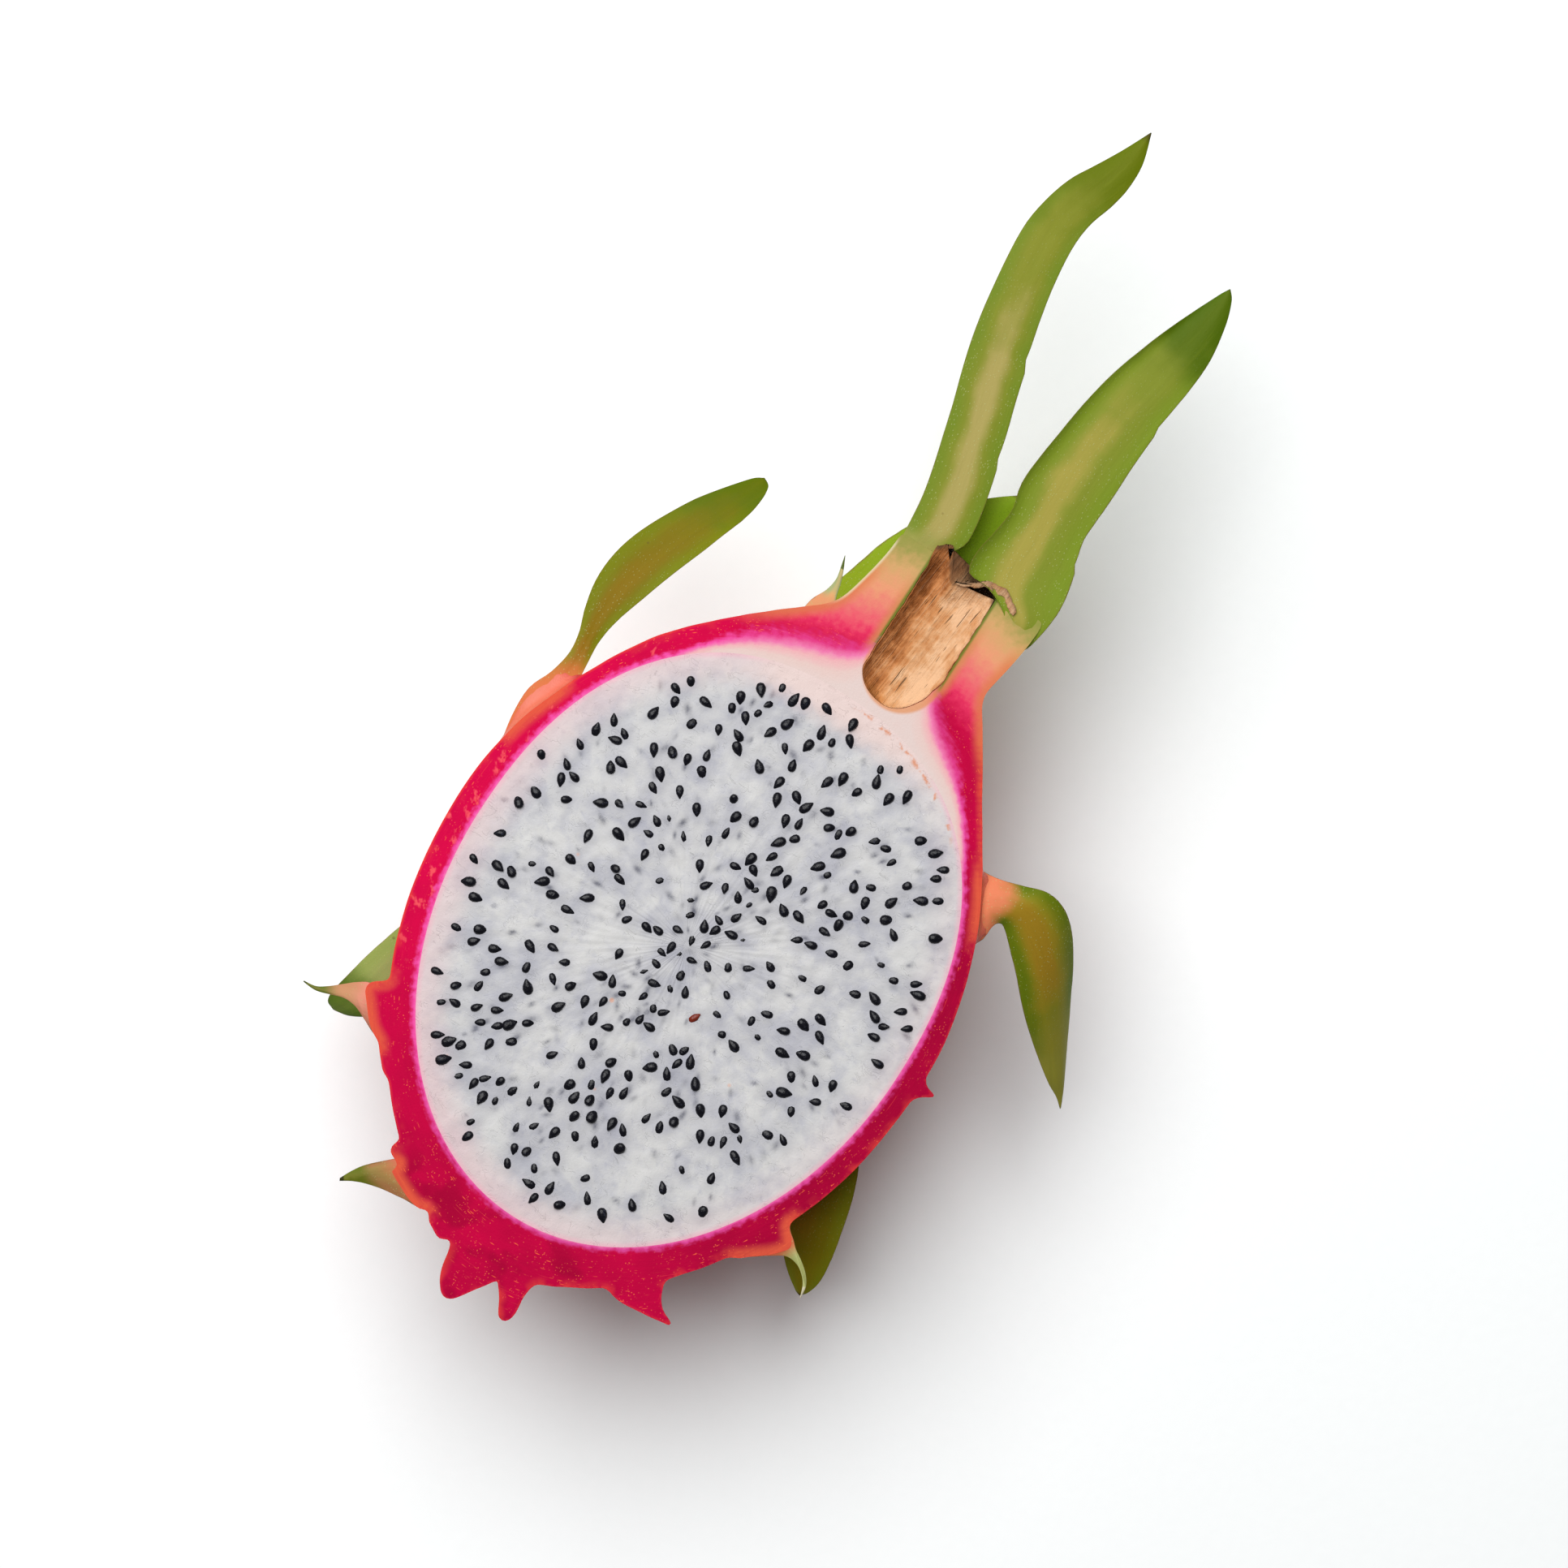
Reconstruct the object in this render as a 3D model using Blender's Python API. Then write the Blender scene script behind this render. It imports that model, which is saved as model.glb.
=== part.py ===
"""A dragon fruit cut in half lengthwise, lying on its rounded back with the cut face up.

Frame: metres, +Z up. The origin is the centre of the small flat spot that the half rests on,
straight below the middle of the flesh. +Y runs along the fruit from the stem end to the flower end,
and the cut face is level, at CUT_HEIGHT.

A place on the skin is given by its station and its turn about the fruit's long axis. A station of -1
is the stem end, 0 the origin and 1 the neck's rim. A turn of 0 is the right rim of the cut face, 90 the
underside and 180 the left rim.
"""

from dataclasses import dataclass
from math import cos, pi, radians, sin

import bmesh
import bpy
from mathutils import Matrix, Vector

MM = 0.001

# The fruit's body
CUT_HEIGHT = 43.0 * MM  # resting plane to the cut face
BODY_WIDTH = 84.4 * MM  # widest, at the origin's station
STEM_REACH = 58.5 * MM  # origin to the stem end
NECK_REACH = 71.5 * MM  # origin to the rim of the neck
NECK_WIDTH = 26.0 * MM
NECK_LENGTH = 15.0 * MM  # its straight part, from the shoulder to the rim
NECK_OFFSET = 6.0 * MM  # the neck leans to +X
BEND_LENGTH = 35.5 * MM  # stretch below the rim over which it leans
SHOULDER_POWER = 2.1
STEM_POWER = 0.58  # 0.5 would round the stem end as an ellipse
SHOULDER_BLEND = 1.6 * MM  # softness of the corner between shoulder and neck
FLAT_DEPTH = 1.2 * MM  # how much of the round back is pressed flat

# The walls between the skin and the flesh
SIDE_WALL = 3.9 * MM
BACK_WALL = 4.6 * MM
STEM_WALL = 8.8 * MM
CROWN_WALL = 1.8 * MM  # between the flesh and the flower tube
FLESH_STEM_POWER = 2.0
FLESH_CROWN_POWER = 2.3

# The flower tube, half of which stays in the neck
TUBE_LENGTH = 24.0 * MM
TUBE_RADIUS = 5.8 * MM
TUBE_WALL = 1.5 * MM
TUBE_SIDESTEP = 1.0 * MM  # the tube lies this far to -X of the neck's middle

GAP = 0.3 * MM  # between pieces that touch
OVERRUN = 1.2 * MM  # how far a cutter runs past the neck's rim
ROOT_DEPTH = 3.0 * MM  # how deep a bract starts below the skin before it is trimmed
SCALE_ROOT = 4.5 * MM  # the same, for the rind's own scales
RIM_ROOT = 0.2 * MM  # the same, for a bract that stands on the neck's rim

BODY_STATIONS = 22
BODY_SIDES = 48
FLESH_STATIONS = 16
FLESH_SIDES = 40
TUBE_STATIONS = 8
TUBE_SIDES = 16
BRACT_STATIONS = 11
BRACT_SIDES = 10
SCALE_STATIONS = 6
SMOOTH_ANGLE = radians(40)


@dataclass
class Bract:
    """A leaf-like scale. It leaves the skin at a station and turn, and runs by headings and pitches.

    A heading is an angle in the XY plane from +X, a pitch is up from that plane, and a roll of 90
    stands the blade on its edge. Widths, headings, pitches and rolls are read evenly along the blade.
    """

    name: str
    station: float
    turn: float
    length: float
    width: float
    thickness: float
    headings: tuple
    pitches: tuple
    rolls: tuple
    widths: tuple
    cup: float
    colour: tuple
    trimmed_at_cut: bool = False
    inset: float = 1.0  # share of the way from the long axis to the skin where it starts
    root: float = ROOT_DEPTH


LEAF_GREEN = (0.20, 0.31, 0.045)
LEAF_OLIVE = (0.17, 0.20, 0.03)
LEAF_PALE = (0.33, 0.44, 0.16)
LEAF_BLUSH = (0.60, 0.30, 0.09)

CROWN_WIDTHS = (0.80, 1.0, 1.0, 0.98, 0.92, 0.84, 0.66, 0.05)
BLADE_WIDTHS = (0.55, 0.42, 0.68, 0.95, 1.0, 0.92, 0.62, 0.06)
HUG_WIDTHS = (1.0, 0.96, 0.90, 0.78, 0.58, 0.30, 0.05)

BRACTS = (
    Bract("crown_bract_left", 1.0, 165, 75 * MM, 10.2 * MM, 1.8 * MM,
          (92, 98, 106, 106, 104, 95, 78, 54), (4, 3, 2, 0, -2, -5, -8, -10), (0, -8, -12, -6, 0),
          CROWN_WIDTHS, 0.22, LEAF_GREEN, inset=0.66, root=RIM_ROOT),
    Bract("crown_bract_right", 1.0, 20, 59.5 * MM, 14.4 * MM, 1.9 * MM,
          (92, 92, 88, 83, 80, 80), (4, 3, 2, 0, -3, -6), (0, 0, 0, 0, 0),
          (1.0, 0.98, 0.90, 0.88, 0.82, 0.60, 0.05), 0.16, LEAF_GREEN, inset=0.5, root=RIM_ROOT),
    Bract("crown_bract_rear", 0.783, 118, 36 * MM, 19.0 * MM, 1.6 * MM,
          (84, 76, 68, 62), (6, 5, 4, 3), (4, 2, 0),
          (0.80, 1.0, 1.0, 0.9, 0.6, 0.05), 0.20, LEAF_OLIVE),
    Bract("shoulder_bract", 0.776, 177, 8 * MM, 4.4 * MM, 1.3 * MM,
          (70, 84, 96, 112), (0, 0, 0, 0), (60, 60, 60),
          (1.0, 0.85, 0.55, 0.28, 0.05), 0.05, LEAF_BLUSH, True),
    Bract("upper_left_bract", 0.294, 172, 47.5 * MM, 9.4 * MM, 1.7 * MM,
          (107, 92, 90, 79, 71, 65, 58), (-4, -6, -8, -8, -8, -8, -8), (18, 10, 0, -6),
          BLADE_WIDTHS, 0.18, LEAF_OLIVE),
    Bract("right_bract", 0.427, 8, 44 * MM, 9.8 * MM, 1.7 * MM,
          (16, 0, -32, -43, -48, -53, -57), (10, 12, -12, -34, -42, -42, -40), (0, -6, -14, -8),
          (1.0, 0.86, 0.95, 1.0, 0.86, 0.55, 0.05), -0.20, LEAF_GREEN),
    Bract("lower_right_bract", -0.24, 20, 25.5 * MM, 13.0 * MM, 1.6 * MM,
          (-34, -62, -80, -88, -94), (-14, -24, -30, -30), (-14, -20, -20),
          (0.80, 0.95, 1.0, 0.9, 0.62, 0.06), 0.18, LEAF_OLIVE),
    Bract("lower_right_cut_bract", -0.504, 4, 11.5 * MM, 10.0 * MM, 1.4 * MM,
          (8, -16, -48, -66), (0, 0, 0, 0), (86, 86, 86),
          (1.0, 0.9, 0.75, 0.5, 0.12), 0.10, LEAF_BLUSH, True),
    Bract("left_cut_bract", -0.581, 176, 13 * MM, 10.0 * MM, 1.4 * MM,
          (190, 204, 196, 176), (0, 0, 0, 0), (-64, -72, -78),
          (1.0, 0.9, 0.62, 0.34, 0.08), 0.10, LEAF_PALE, True),
    Bract("left_rear_bract", -0.325, 156, 21 * MM, 11.0 * MM, 1.5 * MM,
          (238, 258, 264, 268), (-6, -14, -20, -22), (20, 24, 24),
          (0.80, 0.95, 1.0, 0.92, 0.66, 0.12), 0.14, LEAF_PALE),
    Bract("lower_left_bract", -0.926, 172, 13.5 * MM, 8.4 * MM, 1.4 * MM,
          (206, 196, 198, 226), (-6, -6, -6, -6), (-30, -30, -30),
          (1.0, 0.95, 0.8, 0.5, 0.08), 0.12, LEAF_OLIVE, True),
)

# Bracts that lie along the rounded back: station of the foot, turn, and station of the tip
BACK_BRACTS = (
    (-0.615, 60, -0.239),
    (-0.564, 122, -0.188),
    (-0.068, 46, 0.336),
    (0.0, 134, 0.392),
    (0.364, 98, 0.727),
    (0.476, 52, 0.811),
    (0.378, 140, 0.685),
    (-0.786, 92, -0.513),
)
BACK_BRACT_WIDTH = 15.0 * MM
BACK_BRACT_THICKNESS = 1.5 * MM
BACK_BRACT_LIFT = 3.2 * MM  # its tip stands this far off the skin

# Scales that the knife went through, grown as one with the rind: station, turn, length, width,
# heading at the root and at the tip
RIND_SCALES = (
    (-0.985, 112, 8.2 * MM, 8.2 * MM, 262, 280),
    (-0.974, 28, 6.8 * MM, 4.8 * MM, 278, 290),
    (-0.795, 4, 6.6 * MM, 7.0 * MM, 316, 330),
    (-0.8615, 178, 2.6 * MM, 3.6 * MM, 184, 196),
    (-0.0085, 2, 2.8 * MM, 4.2 * MM, 12, 42),
)
SCALE_DEPTH = 6.0 * MM  # how far a scale reaches down the skin from the cut face
SCALE_RISE = 0.75  # share of that depth lost by its tip
SCALE_TIP_RADIUS = 0.35 * MM


def clear_scene():
    for item in list(bpy.data.objects):
        bpy.data.objects.remove(item)


def reading(values, share):
    """The value at a share of the way along an even list, smoothed between its entries."""
    place = min(max(share, 0.0), 1.0) * (len(values) - 1)
    index = min(int(place), len(values) - 2)
    rest = place - index
    ease = rest * rest * (3 - 2 * rest)
    return values[index] * (1 - ease) + values[index + 1] * ease


def smooth_step(low, high, value):
    share = min(max((value - low) / (high - low), 0.0), 1.0)
    return share * share * (3 - 2 * share)


def smooth_max(a, b, softness):
    return (a + b + ((a - b) ** 2 + softness**2) ** 0.5) / 2


def station_y(station):
    return station * (STEM_REACH if station < 0 else NECK_REACH)


def half_width(y, grow=0.0):
    """Half the body's width at a point of its length, or of a body grown all round."""
    full = BODY_WIDTH / 2 + grow
    if y < 0:
        share = min(-y / (STEM_REACH + grow), 1.0)
        return full * (1 - share**2) ** STEM_POWER
    neck = NECK_WIDTH / 2 + grow
    shoulder = full - (full - neck) * (y / (NECK_REACH - NECK_LENGTH)) ** SHOULDER_POWER
    return smooth_max(shoulder, neck, SHOULDER_BLEND)


def centre_x(y):
    return NECK_OFFSET * smooth_step(NECK_REACH - BEND_LENGTH, NECK_REACH, y)


def depth_share():
    """Depth below the cut face for each unit of half width."""
    return (CUT_HEIGHT + FLAT_DEPTH) / (BODY_WIDTH / 2)


def skin_point(y, turn, inset=1.0):
    """A point of the skin, or one that is only a share of the way out to it."""
    radius = half_width(y) * inset
    angle = radians(turn)
    return Vector((
        centre_x(y) + radius * cos(angle),
        y,
        CUT_HEIGHT - radius * depth_share() * sin(angle),
    ))


def skin_around(y, turn):
    """The direction round the skin, the way that the turn grows."""
    return (skin_point(y, turn + 1) - skin_point(y, turn - 1)).normalized()


def skin_normal(y, turn):
    step = 0.5 * MM
    along = skin_point(y + step, turn) - skin_point(y - step, turn)
    return skin_around(y, turn).cross(along).normalized()


def add_ring(bm, sides, place):
    """A closed ring of edges. place turns a corner's cosine and sine into its point."""
    made = bmesh.ops.create_circle(bm, cap_ends=False, radius=1.0, segments=sides)
    for vert in made["verts"]:
        vert.co = place(vert.co.x, vert.co.y)
    return sorted({edge for vert in made["verts"] for edge in vert.link_edges}, key=lambda e: e.index)


def loft(bm, rings):
    """Bridge a row of rings into a skin and close its two ends."""
    for near, far in zip(rings, rings[1:]):
        bmesh.ops.bridge_loops(bm, edges=near + far)
    for end in (rings[0], rings[-1]):
        bmesh.ops.contextual_create(bm, geom=end)
    bmesh.ops.recalc_face_normals(bm, faces=bm.faces)


def slice_off(bm, height, keep_below):
    """Cut the solid with a level plane, drop one side and close the cut."""
    geometry = bm.verts[:] + bm.edges[:] + bm.faces[:]
    cut = bmesh.ops.bisect_plane(
        bm, geom=geometry, dist=0.001 * MM, plane_co=(0, 0, height), plane_no=(0, 0, 1),
        clear_outer=keep_below, clear_inner=not keep_below,
    )
    rim = [item for item in cut["geom_cut"] if isinstance(item, bmesh.types.BMEdge)]
    bmesh.ops.contextual_create(bm, geom=rim)
    bmesh.ops.recalc_face_normals(bm, faces=bm.faces)


def body_mesh(bm, grow=0.0):
    """The whole fruit's body before it is cut, or the same grown all round."""
    stem = -(STEM_REACH + grow)
    crown = NECK_REACH + grow
    stem_count = BODY_STATIONS // 2
    crown_count = BODY_STATIONS - stem_count
    lengthwise = [stem * cos(0.5 * pi * (i + 0.35) / stem_count) for i in range(stem_count)]
    lengthwise += [crown * i / (crown_count - 1) for i in range(crown_count)]

    def ring_at(y):
        radius = half_width(y, grow)
        depth = radius * depth_share()
        return add_ring(bm, BODY_SIDES, lambda c, s: (centre_x(y) + radius * c, y, CUT_HEIGHT + depth * s))

    loft(bm, [ring_at(y) for y in lengthwise])


def flesh_mesh(bm, grow=0.0):
    """The whole flesh before it is cut: rounder at the stem end, squarer towards the flower tube."""
    side = BODY_WIDTH / 2 - SIDE_WALL + grow
    back = CUT_HEIGHT - BACK_WALL + grow
    stem = STEM_REACH - STEM_WALL + grow
    crown = NECK_REACH - TUBE_LENGTH - CROWN_WALL + grow
    turns = [-pi / 2 + pi * (i + 0.3) / (FLESH_STATIONS - 0.4) for i in range(FLESH_STATIONS)]

    def ring_at(angle):
        reach, power = (stem, FLESH_STEM_POWER) if angle < 0 else (crown, FLESH_CROWN_POWER)
        share = abs(sin(angle)) ** (2 / power)
        size = cos(angle) ** (2 / power)
        y = reach * share * (-1 if angle < 0 else 1)
        return add_ring(bm, FLESH_SIDES, lambda c, s: (side * size * c, y, CUT_HEIGHT + back * size * s))

    loft(bm, [ring_at(angle) for angle in turns])


def tube_mesh(bm, radius, overrun=0.0):
    """The round flower tube, domed at its inner end. overrun carries it past the neck's rim."""
    inner = NECK_REACH - TUBE_LENGTH + (TUBE_RADIUS - radius)
    dome = TUBE_STATIONS // 2
    rings = []
    for i in range(dome + 1):
        angle = 0.5 * pi * (i + 0.25) / (dome + 0.25)
        rings.append((inner + TUBE_RADIUS * (1 - cos(angle)), radius * sin(angle)))
    rings.append((NECK_REACH + overrun, radius))
    middle = NECK_OFFSET - TUBE_SIDESTEP
    loft(bm, [
        add_ring(bm, TUBE_SIDES, lambda c, s, y=y, size=size: (middle + size * c, y, CUT_HEIGHT + size * s))
        for y, size in rings
    ])


def blade_frame(tangent, roll):
    """The directions across and out of a blade that runs along tangent."""
    across = tangent.cross(Vector((0, 0, 1))).normalized()
    up = across.cross(tangent)
    turn = Matrix.Rotation(radians(roll), 3, tangent)
    return turn @ across, turn @ up


def blade_mesh(bm, points, tangents, rolls, widths, thickness, cup):
    """A blade lofted along its points, crescent shaped across."""
    rings = []
    for index, (point, tangent) in enumerate(zip(points, tangents)):
        share = index / (len(points) - 1)
        across, out = blade_frame(tangent, reading(rolls, share))
        half = widths(share) / 2
        thick = thickness * min(1.0, 0.45 + half / (2.5 * thickness)) / 2
        rings.append(add_ring(bm, BRACT_SIDES, lambda c, s, o=point, a=across, n=out, h=half, t=thick: (
            o + a * (h * c) + n * (t * s + cup * h * c * c)
        )))
    loft(bm, rings)


def bract_mesh(bm, bract):
    """One bract: rooted below the skin and walked out along its headings and pitches."""
    foot = skin_point(station_y(bract.station), bract.turn, bract.inset)
    count = BRACT_STATIONS
    step = (bract.length + bract.root) / (count - 1)
    tangents = []
    for i in range(count):
        share = i / (count - 1)
        heading = radians(reading(bract.headings, share))
        pitch = radians(reading(bract.pitches, share))
        tangents.append(Vector((cos(heading) * cos(pitch), sin(heading) * cos(pitch), sin(pitch))))
    points = [foot - tangents[0] * bract.root]
    for near, far in zip(tangents, tangents[1:]):
        points.append(points[-1] + (near + far).normalized() * step)
    blade_mesh(bm, points, tangents, bract.rolls, lambda share: bract.width * reading(bract.widths, share),
               bract.thickness, bract.cup)


def back_bract_mesh(bm, foot, turn, tip):
    """A bract that lies along the back, its tip lifted a little off the skin."""
    rings = []
    for i in range(BRACT_STATIONS):
        share = i / (BRACT_STATIONS - 1)
        y = station_y(foot) * (1 - share) + station_y(tip) * share
        out = skin_normal(y, turn)
        lift = BACK_BRACT_LIFT * share + BACK_BRACT_THICKNESS * 0.2
        centre = skin_point(y, turn) + out * lift
        half = BACK_BRACT_WIDTH * reading(HUG_WIDTHS, share) / 2
        sag = half * half / (2 * half_width(y))
        thick = BACK_BRACT_THICKNESS / 2
        rings.append(add_ring(
            bm, BRACT_SIDES, lambda c, s, o=centre, a=skin_around(y, turn), n=out, h=half, d=sag: (
                o + a * (h * c) + n * (thick * s - d * c * c)
            )
        ))
    loft(bm, rings)


def scale_mesh(bm, station, turn, length, width, heading, tip_heading, grow=0.0):
    """A thick scale of the rind: an upright wedge through the cut face, rounded to a point."""
    start = radians(heading)
    bend = radians(tip_heading - heading)
    point = skin_point(station_y(station), turn) - Vector((cos(start), sin(start), 0)) * SCALE_ROOT
    step = (length + grow + SCALE_ROOT) / (SCALE_STATIONS - 1)
    rings = []
    for i in range(SCALE_STATIONS):
        share = i / (SCALE_STATIONS - 1)
        angle = start + bend * share
        across = Vector((-sin(angle), cos(angle), 0))
        half = width / 2 * (1 - share**2) ** 0.5 + SCALE_TIP_RADIUS + grow
        drop = SCALE_DEPTH * (1 - SCALE_RISE * share) + grow
        rings.append(add_ring(bm, BRACT_SIDES, lambda c, s, o=point.copy(), a=across, h=half, d=drop: (
            Vector((o.x, o.y, CUT_HEIGHT)) + a * (h * c) + Vector((0, 0, d * s))
        )))
        point = point + Vector((cos(angle), sin(angle), 0)) * step
    loft(bm, rings)


def material(name, colour, roughness):
    made = bpy.data.materials.new(name)
    made.use_nodes = True
    shader = made.node_tree.nodes["Principled BSDF"]
    shader.inputs["Base Color"].default_value = (*colour, 1.0)
    shader.inputs["Roughness"].default_value = roughness
    shader.inputs["Metallic"].default_value = 0.0
    return made


def add_object(name, build, colour=None, roughness=0.5):
    """An object whose mesh build(bm) makes. Without a colour it is a hidden cutter."""
    bm = bmesh.new()
    build(bm)
    mesh = bpy.data.meshes.new(name)
    bm.to_mesh(mesh)
    bm.free()
    made = bpy.data.objects.new(name, mesh)
    bpy.context.scene.collection.objects.link(made)
    if colour is None:
        made.hide_render = True
        made.display_type = "WIRE"
    else:
        mesh.materials.append(material(name, colour, roughness))
        mesh.shade_smooth()
        mesh.set_sharp_from_angle(angle=SMOOTH_ANGLE)
    return made


def boolean(target, tool, operation):
    step = target.modifiers.new(f"{operation.lower()} {tool.name}", "BOOLEAN")
    step.object = tool
    step.operation = operation
    step.solver = "EXACT"


def level_block(bm):
    """A block that holds everything above the cut face."""
    bmesh.ops.create_cube(bm, size=1.0)
    size = 2 * (STEM_REACH + NECK_REACH)
    bmesh.ops.scale(bm, vec=(size, size, size), verts=bm.verts)
    bmesh.ops.translate(bm, vec=(0, 0, CUT_HEIGHT + size / 2), verts=bm.verts)


def add_scales(target, grow=0.0):
    """Join the rind's scales to a body, each from a hidden cutter of its own."""
    for index, scale in enumerate(RIND_SCALES, 1):
        name = f"{target.name}_scale_{index}"
        boolean(target, add_object(name, lambda bm, scale=scale: scale_mesh(bm, *scale, grow)), "UNION")


def make_rind(above):
    def build(bm):
        body_mesh(bm)
        slice_off(bm, 0.0, keep_below=False)

    rind = add_object("rind", build, (0.68, 0.012, 0.075), 0.45)
    add_scales(rind)
    boolean(rind, above, "DIFFERENCE")
    flesh_room = add_object("flesh_room", lambda bm: flesh_mesh(bm, GAP))
    boolean(rind, flesh_room, "DIFFERENCE")
    tube_room = add_object("tube_room", lambda bm: tube_mesh(bm, TUBE_RADIUS + GAP, OVERRUN))
    boolean(rind, tube_room, "DIFFERENCE")


def make_flesh():
    def build(bm):
        flesh_mesh(bm)
        slice_off(bm, CUT_HEIGHT, keep_below=True)

    add_object("flesh", build, (0.83, 0.82, 0.82), 0.35)


def make_flower_remnant(above):
    remnant = add_object("flower_remnant", lambda bm: tube_mesh(bm, TUBE_RADIUS), (0.50, 0.27, 0.12), 0.8)
    hollow = add_object("tube_hollow", lambda bm: tube_mesh(bm, TUBE_RADIUS - TUBE_WALL, OVERRUN))
    boolean(remnant, hollow, "DIFFERENCE")
    boolean(remnant, above, "DIFFERENCE")


def make_bracts(above):
    skin = add_object("skin_room", lambda bm: body_mesh(bm, GAP))
    add_scales(skin, GAP)
    for bract in BRACTS:
        made = add_object(bract.name, lambda bm, bract=bract: bract_mesh(bm, bract), bract.colour)
        boolean(made, skin, "DIFFERENCE")
        if bract.trimmed_at_cut:
            boolean(made, above, "DIFFERENCE")
    for index, place in enumerate(BACK_BRACTS, 1):
        made = add_object(
            f"back_bract_{index}", lambda bm, place=place: back_bract_mesh(bm, *place), LEAF_GREEN
        )
        boolean(made, skin, "DIFFERENCE")


def main():
    clear_scene()
    above = add_object("above_cut", level_block)
    make_rind(above)
    make_flesh()
    make_flower_remnant(above)
    make_bracts(above)


main()
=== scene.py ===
"""The finished look of a halved dragon fruit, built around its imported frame.

The fruit lies on its rounded back with the cut face up and level. The origin is under the middle of
the flesh, +Y runs to the flower end and +Z is up. A place on the skin is given by its station (-1 at
the stem end, 0 at the origin, 1 at the neck's rim) and its turn (0 at the right rim of the cut face,
90 underneath, 180 at the left rim). Lengths in the tables are in millimetres.
"""

from dataclasses import dataclass
from math import atan2, cos, exp, hypot, pi, radians, sin
from random import Random

import bmesh
import bpy
from bpy.props import FloatProperty, FloatVectorProperty, IntProperty, PointerProperty
from mathutils import Matrix, Vector, noise
from mathutils.kdtree import KDTree


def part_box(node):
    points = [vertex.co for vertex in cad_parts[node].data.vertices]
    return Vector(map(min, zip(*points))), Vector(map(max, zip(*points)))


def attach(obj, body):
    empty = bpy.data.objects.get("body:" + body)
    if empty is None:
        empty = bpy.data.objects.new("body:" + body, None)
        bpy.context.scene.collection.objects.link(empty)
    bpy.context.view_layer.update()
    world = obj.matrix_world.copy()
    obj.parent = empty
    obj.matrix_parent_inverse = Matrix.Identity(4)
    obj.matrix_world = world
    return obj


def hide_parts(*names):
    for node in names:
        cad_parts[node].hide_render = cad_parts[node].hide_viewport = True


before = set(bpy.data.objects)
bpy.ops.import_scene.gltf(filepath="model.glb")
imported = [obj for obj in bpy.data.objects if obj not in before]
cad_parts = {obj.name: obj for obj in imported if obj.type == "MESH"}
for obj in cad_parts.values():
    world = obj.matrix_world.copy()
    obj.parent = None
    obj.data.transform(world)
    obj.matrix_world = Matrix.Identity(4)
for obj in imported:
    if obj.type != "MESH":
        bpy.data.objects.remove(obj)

bl_info = {
    "name": "Halved Dragon Fruit",
    "version": (1, 0, 0),
    "blender": (4, 5, 0),
    "location": "View3D > Sidebar > Fruit",
    "description": "Builds a halved dragon fruit with its seeds, bracts and dried flower tube",
    "category": "Add Mesh",
}

MM = 0.001
FLESH_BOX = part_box("flesh")
RIND_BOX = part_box("rind")
TUBE_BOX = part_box("flower_remnant")


def reading(values, share):
    """The value at a share of the way along an even list, on a smooth curve through its entries."""
    place = min(max(share, 0.0), 1.0) * (len(values) - 1)
    index = min(int(place), len(values) - 2)
    t = place - index
    a, b = values[max(index - 1, 0)], values[index]
    c, d = values[index + 1], values[min(index + 2, len(values) - 1)]
    return b + 0.5 * t * (c - a + t * (2 * a - 5 * b + 4 * c - d + t * (3 * (b - c) + d - a)))


def row_reading(rows, share):
    return [reading([row[part] for row in rows], share) for part in range(len(rows[0]))]


def smooth_step(low, high, value):
    """0 at low, 1 at high and smooth between, whichever is the larger."""
    share = min(max((value - low) / (high - low), 0.0), 1.0)
    return share * share * (3 - 2 * share)


def smooth_max(a, b, softness):
    return (a + b + ((a - b) ** 2 + softness**2) ** 0.5) / 2


def bell(value, middle, spread):
    return exp(-(((value - middle) / spread) ** 2))


def ripple(x, y, z=0.0):
    """Smooth noise between about -1 and 1."""
    return noise.noise(Vector((x, y, z)))


class FruitSizes(bpy.types.PropertyGroup):
    """Sizes of the fruit that a grower would measure."""

    cut_height: FloatProperty(
        name="Cut height", description="Height of the cut face above the table",
        default=FLESH_BOX[1].z, min=0.01, unit="LENGTH")
    body_width: FloatProperty(
        name="Body width", description="Widest part of the cut face, without bracts",
        default=0.0844, min=0.02, unit="LENGTH")
    stem_reach: FloatProperty(
        name="Stem reach", description="From the middle of the flesh to the stem end",
        default=0.0585, min=0.01, unit="LENGTH")
    neck_reach: FloatProperty(
        name="Neck reach", description="From the middle of the flesh to the neck's rim",
        default=RIND_BOX[1].y, min=0.02, unit="LENGTH")
    neck_width: FloatProperty(
        name="Neck width", description="Width of the neck below the crown leaves",
        default=0.026, min=0.005, unit="LENGTH")
    tube_radius: FloatProperty(
        name="Tube radius", description="Outer radius of the dried flower tube",
        default=(TUBE_BOX[1].x - TUBE_BOX[0].x) / 2, min=0.002, unit="LENGTH")
    skin_grain: FloatProperty(
        name="Skin grain", description="Edge length of the rind's faces",
        default=0.0006, min=0.0003, unit="LENGTH")


class FleshLook(bpy.types.PropertyGroup):
    """The white flesh and its seeds."""

    seed_count: IntProperty(
        name="Seeds", description="Seeds that show on the cut face", default=345, min=1)
    sunk_count: IntProperty(
        name="Sunken seeds", description="Seeds that only shimmer through the flesh",
        default=260, min=0)
    seed_length: FloatProperty(
        name="Seed length", description="Length of a ripe seed", default=0.0024, unit="LENGTH")
    pattern: IntProperty(
        name="Pattern", description="Changes how the seeds are scattered", default=7)
    colour: FloatVectorProperty(
        name="Flesh colour", description="Colour of the flesh away from the rim",
        subtype="COLOR", size=3, default=(0.535, 0.53, 0.522), min=0.0, max=1.0)


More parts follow.
